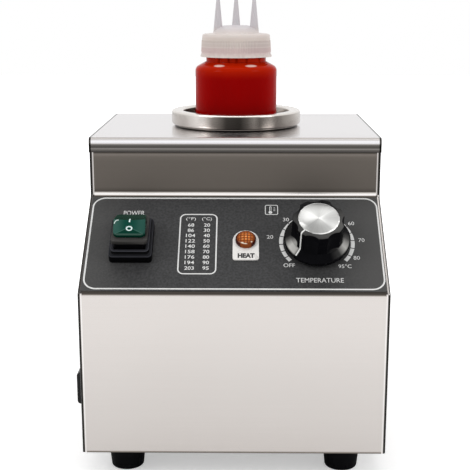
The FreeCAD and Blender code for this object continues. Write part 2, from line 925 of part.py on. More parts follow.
def make_foot(name, x, y):
    """A tapered rubber foot with a recess for its screw."""
    body = new_body(name)
    recess = D["foot_recess_radius"]
    drawing = Drawing(body, "XZ").outline(
        (D["foot_hole"], floor),
        (D["foot_top_radius"], floor),
        (D["foot_bottom_radius"], ZERO),
        (recess, ZERO),
        (recess, D["foot_recess"]),
        (D["foot_hole"], D["foot_recess"]),
    )
    drawing.spin()
    fillet(body, D["foot_round"], (D["foot_bottom_radius"], 0, 0))
    place(body, x, y)
    return body


def make_foot_screws():
    """The four screws of the feet, heads up against the ceilings of the recesses."""
    one = screw(
        D["foot_head_radius"], D["foot_head_height"], D["foot_screw_radius"], D["foot_screw_length"]
    )
    turn = Rotation(Vector(1, 0, 0), 180)
    return from_shapes(
        "foot_screws", [moved(one, x, y, D["foot_recess"], turn) for x, y in foot_places()]
    )


def make_foot_nuts():
    """The four nuts of the foot screws, on the base plate."""
    one = hexagon(
        D["foot_nut_across"], D["foot_nut_height"], D["foot_screw_radius"] + D["spindle_fit"]
    )
    return from_shapes(
        "foot_nuts", [moved(one, x, y, floor + sheet_in) for x, y in foot_places()]
    )


def make_control_label():
    """The dark printed label that covers the slope almost from edge to edge."""
    body = new_body("control_label")
    drawing = Drawing(body, "XY")
    high = slope_length - D["label_high_inset"]
    width = label_left + label_right
    height = high - D["label_low"]
    x = (label_right - label_left) / 2
    y = (high + D["label_low"]) / 2
    drawing.round_box(width, height, D["label_corner"], x, y)
    drawing.pad(D["label_sheet"])
    place_on_panel(body)
    panel_holes(body)
    return body


def collar_width():
    """The width of the frame round the rocker."""
    return D["rocker_width"] + D["collar_side"] * 2


def collar_half():
    """Half the length of the frame round the rocker."""
    return D["rocker_half"] + D["collar_end"]


def bellows_half():
    """Half the length of the skirt under that frame."""
    return collar_half() - D["bellows_end"]


def lowest(half, low):
    """The height over the panel that an edge of the rocking pieces dips to."""
    dip = half * sine(D["rocker_tilt"]) + low * cosine(D["rocker_tilt"])
    return D["pivot_height"] - dip


def tier_top():
    """The top of the boot, clear of the frame's edge at the end of its travel."""
    return lowest(collar_half(), D["collar_low"]) - D["slide_gap"]


def room_floor():
    """The floor of the boot's room, clear of the skirt's edge at the end of its travel."""
    return lowest(bellows_half(), D["bellows_low"]) - D["slide_gap"]


def room_width():
    """The width of the boot's room."""
    return collar_width() + (D["slide_gap"] - D["bellows_side"]) * 2


def room_length():
    """The length of the boot's room, with space for the skirt's swing."""
    tilt = D["rocker_tilt"]
    swing = bellows_half() * cosine(tilt) + D["bellows_low"] * sine(tilt)
    return (swing + D["slide_gap"]) * 2


def make_switch_boot():
    """The rubber boot of the switch: two steps round the room that the rocker's skirt moves in."""
    body = new_body("switch_boot")
    tier_width = room_width() + D["tier_side"] * 2
    tier_length = room_length() + D["tier_end"] * 2
    base_length = tier_length + D["boot_end"] * 2
    base_top = tier_top() * D["boot_height_share"]
    base = Drawing(body, "XY", lift=label_top)
    base.round_box(tier_width + D["boot_side"] * 2, base_length, D["boot_corner"])
    base.pad(base_top - label_top)
    tier = Drawing(body, "XY", lift=base_top)
    tier.round_box(tier_width, tier_length, D["boot_corner"])
    tier.pad(tier_top() - base_top)
    waist = Drawing(body, "XY", lift=label_top)
    clearance = D["slide_gap"] * 2
    waist.middle_box(D["case_across"] + clearance, D["case_along"] + clearance)
    waist.pocket(tier_top() * 2, both=True)
    room = Drawing(body, "XY", lift=room_floor())
    room.middle_box(room_width(), room_length())
    room.pocket(tier_top(), up=True)
    fillet(body, D["boot_round"], (0, -base_length / 2, base_top))
    fillet(body, D["boot_round"], (0, -tier_length / 2, tier_top()))
    place_on_panel(body, switch_across, D["switch_up"])
    return body


def place_on_pivot(body):
    """Tilt a piece drawn round the switch's pivot to where it rests, front edge up."""
    y = front + D["switch_up"] * slope_cosine - D["pivot_height"] * slope_sine
    z = fold + D["switch_up"] * slope_sine + D["pivot_height"] * slope_cosine
    rest = Size(D["rocker_tilt"].value, f"{D['rocker_tilt'].formula} * 1 deg")
    place(body, switch_across, y, z, slope - rest)


def make_switch_collar():
    """The grey frame that tilts with the rocker, with a dark skirt under it that reaches into the boot."""
    body = new_body("switch_collar")
    rim = Drawing(body, "XY", lift=-D["collar_low"])
    rim.round_box(collar_width(), collar_half() * 2, D["collar_corner"])
    rim.pad(D["collar_low"] + D["collar_top"])
    width = collar_width() - D["bellows_side"] * 2
    bellows = Drawing(body, "XY", lift=-D["collar_low"])
    bellows.round_box(width, bellows_half() * 2, D["bellows_corner"])
    bellows.pad(D["bellows_low"] - D["collar_low"], down=True)
    inside = Drawing(body, "XY", lift=-D["bellows_low"])
    inside.middle_box(width - D["bellows_wall"] * 2, (bellows_half() - D["bellows_wall"]) * 2)
    inside.pocket(D["bellows_low"] - D["collar_low"], up=True)
    across = D["rocker_width"] / 2
    along = D["rocker_half"]
    clip = D["rocker_clip"]
    seat = Drawing(body, "XY", lift=D["rocker_skirt"]).outline(
        (-across, clip - along),
        (clip - across, -along),
        (across - clip, -along),
        (across, clip - along),
        (across, along - clip),
        (across - clip, along),
        (clip - across, along),
        (-across, along - clip),
    )
    seat.pocket(D["collar_top"], up=True)
    hole = Drawing(body, "XY", lift=D["collar_top"])
    hole.middle_box((across - D["collar_ledge"]) * 2, (along - D["collar_ledge"]) * 2)
    hole.pocket(D["collar_top"] + D["bellows_low"])
    place_on_pivot(body)
    return body


def make_switch_case():
    """The body of the switch under the panel, with two lugs up inside the boot for the pivot."""
    body = new_body("switch_case")
    shoulder = room_floor() - D["slide_gap"]
    block = Drawing(body, "XY", lift=shoulder)
    block.middle_box(D["case_across"], D["case_along"])
    block.pad(shoulder + D["case_below"], down=True)
    lug_inside = D["boss_width"] / 2 + D["slide_gap"]
    lug_outside = lug_inside + D["lug_sheet"]
    lug_half = D["boss_radius"]
    for left, right in ((-lug_outside, -lug_inside), (lug_inside, lug_outside)):
        lug = Drawing(body, "XY", lift=shoulder - sheet_in)
        lug.box(left, right, -lug_half, lug_half)
        lug.pad(D["pivot_height"] + D["boss_radius"] - shoulder + sheet_in)
    bore = Drawing(body, "YZ")
    bore.circle(D["pivot_radius"] + D["pivot_fit"], ZERO, D["pivot_height"])
    bore.pocket(D["case_across"], both=True)
    place_on_panel(body, switch_across, D["switch_up"])
    return body


def make_switch_pivot():
    """The steel pin through the rocker's boss and both lugs."""
    body = new_body("switch_pivot")
    drawing = Drawing(body, "YZ")
    drawing.circle(D["pivot_radius"], ZERO, D["pivot_height"])
    drawing.pad(D["boss_width"] + (D["slide_gap"] + D["lug_sheet"]) * 2, both=True)
    place_on_panel(body, switch_across, D["switch_up"])
    return body


def make_switch_rocker():
    """The green rocker: a hollow cap with two faces that meet in a ridge, on a boss round its pivot."""
    body = new_body("switch_rocker")
    half = D["rocker_half"]
    crown = D["rocker_crown"]
    face_rise = sine(D["rocker_face_tilt"]) / cosine(D["rocker_face_tilt"])
    edge = crown - half * face_rise
    skirt = D["rocker_skirt"]
    drawing = Drawing(body, "YZ").outline(
        (-half, skirt), (half, skirt), (half, edge), (ZERO, crown), (-half, edge)
    )
    drawing.pad(D["rocker_width"], both=True)
    corner = D["rocker_width"] / 2
    chamfer(
        body,
        D["rocker_clip"],
        (corner, half, (skirt + edge) / 2),
        (corner, -half, (skirt + edge) / 2),
        (-corner, half, (skirt + edge) / 2),
        (-corner, -half, (skirt + edge) / 2),
    )
    fillet(body, D["rocker_round"], (0, half, edge), (0, -half, edge))
    wall = D["rocker_wall"]
    inner_half = half - wall - D["rocker_clip"]
    inner_crown = crown - wall / cosine(D["rocker_face_tilt"])
    inner_edge = inner_crown - inner_half * face_rise
    hollow = Drawing(body, "YZ").outline(
        (-inner_half, skirt - wall),
        (inner_half, skirt - wall),
        (inner_half, inner_edge),
        (ZERO, inner_crown),
        (-inner_half, inner_edge),
    )
    hollow.pocket(D["rocker_width"] - wall * 2, both=True)
    web = Drawing(body, "YZ")
    web.box(-D["boss_radius"], D["boss_radius"], ZERO, crown - wall)
    web.pad(D["boss_width"], both=True)
    boss = Drawing(body, "YZ")
    boss.circle(D["boss_radius"])
    boss.pad(D["boss_width"], both=True)
    bore = Drawing(body, "YZ")
    bore.circle(D["pivot_radius"] + D["pivot_fit"])
    bore.pocket(D["boss_width"] + wall, both=True)
    place_on_pivot(body)
    return body


def make_switch_terminals():
    """Four blades under the switch."""
    body = new_body("switch_terminals", several=True)
    drawing = Drawing(body, "XY", lift=-D["case_below"])
    for side in (-1, 1):
        for end in (-1, 1):
            drawing.middle_box(
                D["blade_sheet"], D["blade_width"], side * D["blade_row"] / 2, end * D["blade_row"]
            )
    drawing.pad(D["blade_length"], down=True)
    place_on_panel(body, switch_across, D["switch_up"])
    return body


def make_lamp_plate():
    """The white plate of the lamp, round at the top."""
    body = new_body("lamp_plate")
    drawing = Drawing(body, "XY", lift=label_top)
    drawing.arch(D["plate_radius"], D["plate_drop"])
    drawing.pad(D["plate_sheet"])
    side = D["plate_radius"]
    middle = label_top + D["plate_sheet"] / 2
    fillet(
        body, D["plate_corner"], (side, -D["plate_drop"], middle), (-side, -D["plate_drop"], middle)
    )
    hole = Drawing(body, "XY", lift=label_top)
    hole.circle(D["barrel_radius"] + D["slide_gap"])
    hole.pocket(through, both=True)
    place_on_panel(body, lamp_across, D["lamp_up"])
    return body


def make_lamp_lens():
    """The orange lens: a short wall under a low dome, with grooves crossing on its face."""
    body = new_body("lamp_lens")
    seat = label_top + D["plate_sheet"]
    wall_top = seat + D["lens_wall_height"]
    top = wall_top + D["lens_dome"]
    drawing = Drawing(body, "XZ").outline(
        (ZERO, seat),
        (D["lens_radius"], seat),
        (D["lens_radius"], wall_top),
        (D["lens_shoulder_radius"], top - D["lens_crown"]),
        (ZERO, top),
    )
    drawing.spin()
    fillet(body, D["lens_dome"] / 2, (0, D["lens_radius"], wall_top))
    floor_of_grooves = top - D["lens_groove_depth"]
    reach = D["lens_radius"] * 2
    for across in (True, False):
        grooves = Drawing(body, "XY", lift=floor_of_grooves)
        for step in (-1.5, -0.5, 0.5, 1.5):
            place_of_groove = D["lens_pitch"] * step
            if across:
                grooves.middle_box(reach, D["lens_groove"], ZERO, place_of_groove)
            else:
                grooves.middle_box(D["lens_groove"], reach, place_of_groove, ZERO)
        grooves.pocket(D["lens_dome"], up=True)
    place_on_panel(body, lamp_across, D["lamp_up"])
    return body


def make_lamp_barrel():
    """The barrel of the lamp, through the plate, the label and the panel."""
    body = new_body("lamp_barrel")
    drawing = Drawing(body, "XY", lift=label_top + D["plate_sheet"])
    drawing.circle(D["barrel_radius"])
    drawing.pad(D["barrel_length"], down=True)
    place_on_panel(body, lamp_across, D["lamp_up"])
    return body


def make_lamp_nut():
    """The hexagonal nut that clamps the lamp from inside."""
    body = new_body("lamp_nut")
    nut = hexagon(
        D["lamp_nut_across"], D["lamp_nut_height"], D["barrel_radius"] + D["spindle_fit"]
    )
    base = body.newObject("PartDesign::Feature", "LampNutBlank")
    base.Shape = nut
    body.Tip = base
    document.recompute()
    place_on_panel(body, lamp_across, D["lamp_up"], -sheet_in - D["lamp_nut_height"])
    return body


def make_lamp_pins():
    """Two solder pins behind the lamp."""
    body = new_body("lamp_pins", several=True)
    drawing = Drawing(body, "XY", lift=label_top + D["plate_sheet"] - D["barrel_length"])
    for side in (-1, 1):
        drawing.circle(D["lamp_pin_radius"], side * D["lamp_pin_row"])
    drawing.pad(D["lamp_pin_length"], down=True)
    place_on_panel(body, lamp_across, D["lamp_up"])
    return body


def make_thermostat_body():
    """The thermostat: a plate against the panel, a box behind it and a bush through the hole."""
    body = new_body("thermostat_body")
    plate = Drawing(body, "XY", lift=-sheet_in)
    plate.round_box(D["stat_plate"], D["stat_plate"], D["stat_corner"])
    plate.pad(D["stat_plate_sheet"], down=True)
    box = Drawing(body, "XY", lift=-sheet_in - D["stat_plate_sheet"])
    box.round_box(D["stat_width"], D["stat_width"], D["stat_corner"])
    box.pad(D["stat_depth"], down=True)
    bush = Drawing(body, "XY", lift=-sheet_in)
    bush.circle(D["bush_radius"])
    bush.pad(D["bush_top"] + sheet_in)
    bore = Drawing(body, "XY", lift=D["bush_top"])
    bore.circle(D["spindle_radius"] + D["spindle_fit"])
    bore.pocket(D["bush_top"] + D["spindle_depth"])
    place_on_panel(body, knob_across, D["knob_up"])
    return body


def make_thermostat_nut():
    """The nut of the bush, on the label and inside the knob."""
    body = new_body("thermostat_nut")
    base = body.newObject("PartDesign::Feature", "ThermostatNutBlank")
    base.Shape = hexagon(
        D["stat_nut_across"], D["stat_nut_height"], D["bush_radius"] + D["spindle_fit"]
    )
    body.Tip = base
    document.recompute()
    place_on_panel(body, knob_across, D["knob_up"], label_top)
    return body


def stat_back():
    """How far behind the face of the panel the thermostat ends."""
    return sheet_in + D["stat_plate_sheet"] + D["stat_depth"]


def make_thermostat_terminals():
    """Two blades behind the thermostat."""
    body = new_body("thermostat_terminals", several=True)
    drawing = Drawing(body, "XY", lift=-stat_back())
    for side in (-1, 1):
        drawing.middle_box(
            D["blade_width"], D["blade_sheet"], side * D["blade_row"], D["blade_row"]
        )
    drawing.pad(D["blade_length"], down=True)
    place_on_panel(body, knob_across, D["knob_up"])
    return body


def make_spindle():
    """The shaft that the knob turns, with a flat along the part inside the knob."""
    body = new_body("thermostat_spindle")
    shaft = Drawing(body, "XY", lift=D["bush_top"])
    shaft.circle(D["spindle_radius"])
    shaft.pad(D["bush_top"] + D["spindle_depth"] - D["spindle_fit"], down=True)
    keyed = Drawing(body, "XY", lift=D["bush_top"])
    keyed.cut_circle(D["spindle_radius"], D["spindle_flat"])
    keyed.pad(D["spindle_top"] - D["bush_top"])
    place_on_panel(body, knob_across, D["knob_up"])
    return body


def make_knob_body():
    """The black knob: a low skirt and a grip with seven flutes, one lobe of it under the pointer."""
    body = new_body("knob_body")
    foot = label_top + D["knob_gap"]
    drawing = Drawing(body, "XZ").outline(
        (ZERO, foot),
        (D["skirt_radius"], foot),
        (D["skirt_radius"], foot + D["skirt_edge"]),
        (D["skirt_top_radius"], D["skirt_top"]),
        (D["grip_radius"], D["grip_foot"]),
        (D["grip_top_radius"], D["grip_top"]),
        (ZERO, D["grip_top"]),
    )
    drawing.spin()
    fillet(body, D["grip_foot_round"], (0, D["grip_radius"], D["grip_foot"]))
    flutes = Drawing(body, "XY", lift=D["grip_top"])
    away = D["grip_radius"] - D["flute_depth"] + D["flute_radius"]
    for step in range(int(D["flute_count"].value)):
        angle = D["pointer_angle"] + FULL_TURN * (step + 0.5) / D["flute_count"]
        flutes.circle(D["flute_radius"], away * cosine(angle), away * sine(angle))
    flutes.pocket(D["grip_top"] - D["grip_foot"] + D["flute_below_foot"])
    seat = Drawing(body, "XY", lift=D["grip_top"])
    seat.circle(D["disc_radius"] + D["spindle_fit"])
    seat.pocket(D["grip_top"] - D["disc_seat"])
    hollow = Drawing(body, "XY", lift=foot)
    hollow.circle(D["knob_hollow"])
    hollow.pocket(D["hollow_top"] - foot, up=True)
    bore = Drawing(body, "XY", lift=D["hollow_top"])
    bore.cut_circle(
        D["spindle_radius"] + D["spindle_fit"], D["spindle_flat"] + D["spindle_fit"]
    )
    bore.pocket(D["spindle_top"] + D["slide_gap"] - D["hollow_top"], up=True)
    place_on_panel(body, knob_across, D["knob_up"])
    return body


def make_knob_disc():
    """The spun aluminium disc let into the top of the knob."""
    body = new_body("knob_disc")
    drawing = Drawing(body, "XY", lift=D["disc_seat"])
    drawing.circle(D["disc_radius"])
    drawing.pad(D["disc_sheet"])
    chamfer(body, D["disc_bevel"], (0, D["disc_radius"], D["disc_seat"] + D["disc_sheet"]))
    place_on_panel(body, knob_across, D["knob_up"])
    return body


def make_power_inlet():
    """The mains inlet in the left side, with its deep socket open to the left."""
    body = new_body("power_inlet")
    collar = Drawing(body, "YZ")
    collar.middle_box(D["inlet_length"], D["inlet_height"])
    collar.pad(D["inlet_proud"], down=True)
    behind = Drawing(body, "YZ")
    behind.middle_box(D["inlet_body_length"], D["inlet_body_height"])
    behind.pad(D["inlet_body_depth"])
    top = D["inlet_height"] / 2
    chamfer(body, D["inlet_edge"], (-D["inlet_proud"], 0, top))
    fillet(body, D["inlet_edge"], (-D["inlet_proud"], 0, -top))
    half = D["socket_length"] / 2
    rise = D["socket_height"] / 2
    corner = D["socket_corner"]
    socket = Drawing(body, "YZ", lift=-D["inlet_proud"])
    socket.outline(
        (-half, -rise),
        (half, -rise),
        (half, rise - corner),
        (half - corner, rise),
        (-half + corner, rise),
        (-half, rise - corner),
    )
    socket.pocket(D["socket_depth"], up=True)
    place(body, -half_width, front + D["inlet_from_front"], floor + D["inlet_up"])
    return body


def make_inlet_pins():
    """Three pins standing in the socket, and their tabs behind it."""
    body = new_body("inlet_pins", several=True)
    floor_of_socket = D["socket_depth"] - D["inlet_proud"]
    pins = Drawing(body, "YZ", lift=floor_of_socket)
    tabs = Drawing(body, "YZ", lift=D["inlet_body_depth"])
    for side, rise in ((-1, -1), (0, 1), (1, -1)):
        for drawing in (pins, tabs):
            drawing.middle_box(
                D["pin_width"], D["pin_height"], side * D["pin_pitch"], rise * D["pin_rise"]
            )
    pins.pad(D["pin_length"], down=True)
    tabs.pad(D["tab_length"])
    place(body, -half_width, front + D["inlet_from_front"], floor + D["inlet_up"])
    return body


def make_well_pot():
    """The deep pot that hangs in the deck by its flange."""
    body = new_body("well_pot")
    inner = D["pot_radius"]
    wall = D["pot_wall"]
    top = deck + D["pot_flange_sheet"]
    drawing = Drawing(body, "XZ").outline(
        (ZERO, well_floor - wall),
        (pot_outside, well_floor - wall),
        (pot_outside, deck),
        (D["pot_flange"], deck),
        (D["pot_flange"], top),
        (inner, top),
        (inner, well_floor),
        (ZERO, well_floor),
    )
    drawing.spin()
    fillet(body, D["pot_corner"] + wall, (0, pot_outside, well_floor - wall))
    fillet(body, D["pot_corner"], (0, inner, well_floor))
    place(body, ZERO, well_back)
    return body


def make_well_ring():
    """The heavy steel ring that lies on the flange and stands clear of the deck."""
    body = new_body("well_ring")
    low = deck + D["pot_flange_sheet"]
    high = low + D["ring_height"]
    drawing = Drawing(body, "XZ").outline(
        (D["ring_bore"], low),
        (D["ring_radius"], low),
        (D["ring_radius"], high),
        (D["ring_bore"], high),
    )
    drawing.spin()
    fillet(body, D["ring_top_round"], (0, D["ring_radius"], high))
    fillet(body, D["ring_inner_round"], (0, D["ring_bore"], high))
    fillet(body, D["ring_foot_round"], (0, D["ring_radius"], low))
    place(body, ZERO, well_back)
    return body


def heater_low():
    """The lower edge of the heater."""
    return well_floor + D["heater_from_floor"]


def make_heater_band():
    """The band heater, split at the back between two lugs that a pair of screws draws together."""
    body = new_body("heater_band")
    inner = pot_outside + D["slide_gap"]
    outer = inner + D["heater_sheet"]
    drawing = Drawing(body, "XZ")
    drawing.box(inner, outer, ZERO, heater_height)
    drawing.spin()
    gap = D["heater_split"] / 2
    split = Drawing(body, "XY")
    split.box(-gap, gap, inner / 2, outer * 2)
    split.pocket((heater_height + D["cut_overrun"]) * 2, both=True)
    lugs = Drawing(body, "XY")
    bite = D["heater_sheet"] / 2
    lug_end = outer + D["heater_lug"]
    for left, right in (
        (-gap - D["heater_lug_sheet"], -gap),
        (gap, gap + D["heater_lug_sheet"]),
    ):
        lugs.box(left, right, outer - bite, lug_end)
    lugs.pad(heater_height)
    holes = Drawing(body, "YZ")
    middle = outer + D["heater_lug"] / 2
    for height in heater_screw_heights():
        holes.circle(D["heater_screw_radius"] + D["spindle_fit"], middle, height)
    holes.pocket(D["heater_split"] + (D["heater_lug_sheet"] + D["cut_overrun"]) * 2, both=True)
    place(body, ZERO, well_back, heater_low())
    return body


def heater_screw_heights():
    """The two heights of the heater's screws above its lower edge."""
    return (D["heater_screw_inset"], heater_height - D["heater_screw_inset"])


def make_heater_screws():
    """Two screws across the split of the heater."""
    outside = D["heater_split"] / 2 + D["heater_lug_sheet"]
    length = outside * 2 + D["heater_head_height"]
    one = screw(
        D["heater_head_radius"], D["heater_head_height"], D["heater_screw_radius"], length
    )
    y = well_back + pot_outside + D["slide_gap"] + D["heater_sheet"] + D["heater_lug"] / 2
    turn = Rotation(Vector(0, 1, 0), 90)
    return from_shapes(
        "heater_screws",
        [moved(one, outside, y, heater_low() + height, turn) for height in heater_screw_heights()],
    )


def make_insulation_jacket():
    """The thick jacket round the heater, open at the back where the lugs stand."""
    body = new_body("insulation_jacket")
    inner = pot_outside + D["slide_gap"] * 2 + D["heater_sheet"]
    outer = inner + D["jacket_sheet"]
    drawing = Drawing(body, "XZ")
    drawing.box(inner, outer, ZERO, heater_height - D["jacket_trim"])
    drawing.spin()
    gate = Drawing(body, "XY")
    gate.box(-D["jacket_gate"] / 2, D["jacket_gate"] / 2, inner / 2, outer * 2)
    gate.pocket((heater_height + D["cut_overrun"]) * 2, both=True)
    place(body, ZERO, well_back, heater_low())
    return body


def bulb_away():
    """How far in front of the well's axis the bulb stands."""
    return pot_outside + D["slide_gap"] + D["bulb_radius"]


def bulb_low():
    """The lower end of the bulb, clear of the heater's upper edge."""
    return heater_low() + heater_height + D["bulb_clearance"]


def bulb_length():
    """The length of the bulb, up to its distance below the deck."""
    return deck - D["bulb_from_deck"] - bulb_low()


def make_thermostat_bulb():
    """The sensing bulb, upright against the front of the pot."""
    body = new_body("thermostat_bulb")
    drawing = Drawing(body, "XY")
    drawing.circle(D["bulb_radius"])
    drawing.pad(bulb_length())
    fillet(
        body,
        D["bulb_radius"] / 2,
        (0, D["bulb_radius"], 0),
        (0, D["bulb_radius"], bulb_length()),
    )
    place(body, ZERO, well_back - bulb_away(), bulb_low())
    return body


def make_bulb_strap():
    """The spring strap that goes round the pot and holds the bulb against it."""
    body = new_body("bulb_strap")
    gap = D["slide_gap"] / 2
    drawing = Drawing(body, "XY")
    drawing.belt(pot_outside + gap, D["bulb_radius"] + gap, bulb_away())
    sheet = D["strap_sheet"]
    drawing.belt(pot_outside + gap + sheet, D["bulb_radius"] + gap + sheet, bulb_away())
    drawing.pad(D["strap_height"])
    middle = bulb_low() + bulb_length() / 2 - D["strap_height"] / 2
    place(body, ZERO, well_back, middle)
    return body


def tube_along(points, bend, radius):
    """A round tube along straight runs that are joined by tangent arcs of one radius."""
    edges = []
    start = points[0]
    for before, corner, after in zip(points, points[1:], points[2:]):
        inward = (before - corner).normalize()
        onward = (after - corner).normalize()
        half_turn = inward.getAngle(onward) / 2
        cut = bend / math.tan(half_turn)
        first = corner + inward * cut
        last = corner + onward * cut
        centre = corner + (inward + onward).normalize() * (bend / math.sin(half_turn))
        middle = centre + (corner - centre).normalize() * bend
        edges.append(Part.LineSegment(start, first).toShape())
        edges.append(Part.Arc(first, middle, last).toShape())
        start = last
    edges.append(Part.LineSegment(start, points[-1]).toShape())
    path = Part.Wire(edges)
    ring = Part.Circle(points[0], points[1] - points[0], radius).toShape()
    return path.makePipeShell([Part.Wire([ring])], True, False)


def make_capillary_tube():
    """The thin copper tube from the bulb to the back of the thermostat."""
    y = (well_back - bulb_away()).value
    low = bulb_low().value
    drop = low - D["capillary_drop"].value
    reach = D["capillary_reach"].value
    end = panel_point(knob_across - D["blade_row"], D["knob_up"] - D["blade_row"], -stat_back())
    lead = panel_point(
        knob_across - D["blade_row"],
        D["knob_up"] - D["blade_row"],
        -stat_back() - D["capillary_lead"],
    )
    points = [Vector(0, y, low), Vector(0, y, drop), Vector(reach, y - reach, drop), lead, end]
    tube = tube_along(points, D["capillary_bend"].value, D["capillary_radius"].value)
    return from_shapes("capillary_tube", [tube])


def make_thermal_cutout():
    """The safety cut-out, flat against the bottom of the pot."""
    body = new_body("thermal_cutout")
    flange = Drawing(body, "XY")
    flange.round_box(
        D["cutout_flange_length"], D["cutout_flange_width"], D["cutout_flange_width"] * D["slot_end_share"]
    )
    flange.pad(D["cutout_flange_sheet"], down=True)
    holes = Drawing(body, "XY")
    for side in (-1, 1):
        holes.circle(D["cutout_stud_radius"] + D["slide_gap"], side * cutout_stud_across())
    holes.pocket(through, both=True)
    disc = Drawing(body, "XY")
    disc.circle(D["cutout_radius"])
    disc.pad(D["cutout_height"], down=True)
    blades = Drawing(body, "XY", lift=-D["cutout_height"])
    for side in (-1, 1):
        blades.middle_box(D["blade_width"], D["blade_sheet"], ZERO, side * D["cutout_radius"] / 2)
    blades.pad(D["blade_length"], down=True)
    place(body, ZERO, well_back, well_floor - D["pot_wall"])
    return body


def cutout_stud_across():
    """How far from the axis the studs of the cut-out stand."""
    return D["cutout_flange_length"] / 2 - D["cutout_stud_inset"]


def make_cutout_nuts():
    """Two studs under the pot with the nuts that hold the cut-out."""
    stud = Part.makeCylinder(D["cutout_stud_radius"].value, D["cutout_stud_length"].value)
    nut = hexagon(D["cutout_nut_across"], D["cutout_nut_height"])
    seat = D["cutout_stud_length"] - D["cutout_flange_sheet"] - D["cutout_nut_height"]
    one = stud.fuse(moved(nut, 0, 0, seat)).removeSplitter()
    low = well_floor - D["pot_wall"] - D["cutout_stud_length"]
    return from_shapes(
        "cutout_nuts",
        [moved(one, side * cutout_stud_across(), well_back, low) for side in (-1, 1)],
    )


def make_rear_screws():
    """Four screws of the rear panel, heads to the back."""
    one = screw(
        D["rear_head_radius"], D["rear_head_height"], D["rear_shank_radius"], D["rear_shank_length"]
    )
    turn = Rotation(Vector(1, 0, 0), -90)
    inset = half_width - D["rear_screw_inset"]
    return from_shapes(
        "rear_screws",
        [
            moved(one, side * inset, back, height, turn)
            for side in (-1, 1)
            for height in rear_screw_heights()
        ],
    )


def make_terminal_block():
    """The three way terminal block on the base, with its wire ways and screw wells."""
    body = new_body("terminal_block")
    step = D["block_step"]
    half = D["block_width"] / 2
    drawing = Drawing(body, "YZ").outline(
        (-half, ZERO),
        (half, ZERO),
        (half, D["block_height"] - step),
        (half - step, D["block_height"]),
        (-half + step, D["block_height"]),
        (-half, D["block_height"] - step),
    )
    drawing.pad(D["block_length"], both=True)
    ways = Drawing(body, "XZ")
    wells = Drawing(body, "XY", lift=D["block_height"])
    for way in range(int(D["block_ways"].value)):
        x = D["block_pitch"] * (way - (D["block_ways"].value - 1) / 2)
        ways.circle(D["block_bore"], x, D["block_height"] / 3)
        wells.circle(D["block_screw_bore"], x)
    ways.pocket(D["block_width"] * 2, both=True)
    wells.pocket(D["block_height"] * 2 / 3)
    place(body, block_across, D["block_back"], floor + sheet_in)
    return body


def make_block_screws():
    """The clamping screws down in the wells of the terminal block."""
    one = Part.makeCylinder(D["block_screw_radius"].value, D["block_screw_height"].value)
    z = floor + sheet_in + D["block_height"] / 3
    middle = (D["block_ways"].value - 1) / 2
    return from_shapes(
        "block_screws",
        [
            moved(one, block_across + D["block_pitch"] * (way - middle), D["block_back"], z)
            for way in range(int(D["block_ways"].value))
        ],
    )


def make_earth_stud():
    """The earth stud, through the base, with its nut."""
    stud = Part.makeCylinder(D["earth_radius"].value, D["earth_length"].value)
    nut = hexagon(D["earth_nut_across"], D["earth_nut_height"])
    one = stud.fuse(moved(nut, 0, 0, sheet_in)).removeSplitter()
    return from_shapes(
        "earth_stud", [moved(one, earth_across, D["earth_back"], floor)]
    )


def make_bottle_shell():
    """The clear squeeze bottle: straight wall, short shoulder and wide neck."""
    body = new_body("bottle_shell")
    wall = D["bottle_wall"]
    radius = D["bottle_radius"]
    base = well_floor
    shoulder = deck + D["bottle_shoulder"]
    neck_foot = shoulder + D["bottle_shoulder_rise"]
    top = deck + D["neck_top"]
    drawing = Drawing(body, "XZ").outline(
        (ZERO, base + D["bottle_punt"]),
        (D["bottle_punt_radius"], base + D["bottle_punt"]),
        (D["bottle_standing_radius"], base),
        (radius, base),
        (radius, shoulder),
        (D["neck_radius"], neck_foot),
        (D["neck_radius"], top),
        (D["neck_bore"], top),
        (D["neck_bore"], neck_foot - wall),
        (radius - wall, shoulder - wall),
        (radius - wall, base + D["bottle_punt"] + wall),
        (ZERO, base + D["bottle_punt"] + wall),
    )
    drawing.spin()
    fillet(body, D["bottle_foot_round"], (0, radius, base))
    fillet(body, D["bottle_shoulder_round"], (0, radius, shoulder))
    fillet(body, D["bottle_shoulder_round"] - wall, (0, radius - wall, shoulder - wall))
    place(body, ZERO, well_back)
    return body


def make_sauce_fill():
    """The sauce, which fills the bottle to the foot of its neck."""
    body = new_body("sauce_fill")
    gap = D["sauce_gap"]
    radius = D["bottle_radius"] - D["bottle_wall"] - gap
    low = well_floor + D["bottle_punt"] + D["bottle_wall"] + gap
    shoulder = deck + D["bottle_shoulder"] - D["bottle_wall"] - gap
    neck_foot = shoulder + D["bottle_shoulder_rise"]
    level = deck + D["sauce_level"]
    drawing = Drawing(body, "XZ").outline(
        (ZERO, low),
        (radius, low),
        (radius, shoulder),
        (D["neck_bore"] - gap, neck_foot),
        (D["neck_bore"] - gap, level),
        (ZERO, level),
    )
    drawing.spin()
    fillet(body, D["bottle_shoulder_round"] - D["bottle_wall"], (0, radius, shoulder))
    place(body, ZERO, well_back)
    return body


def make_cap_gasket():
    """The flat ring that seals the cap on the rim of the neck."""
    body = new_body("cap_gasket")
    low = deck + D["neck_top"]
    drawing = Drawing(body, "XZ")
    drawing.box(D["gasket_bore"], D["neck_radius"], low, low + D["gasket_sheet"])
    drawing.spin()
    place(body, ZERO, well_back)
    return body


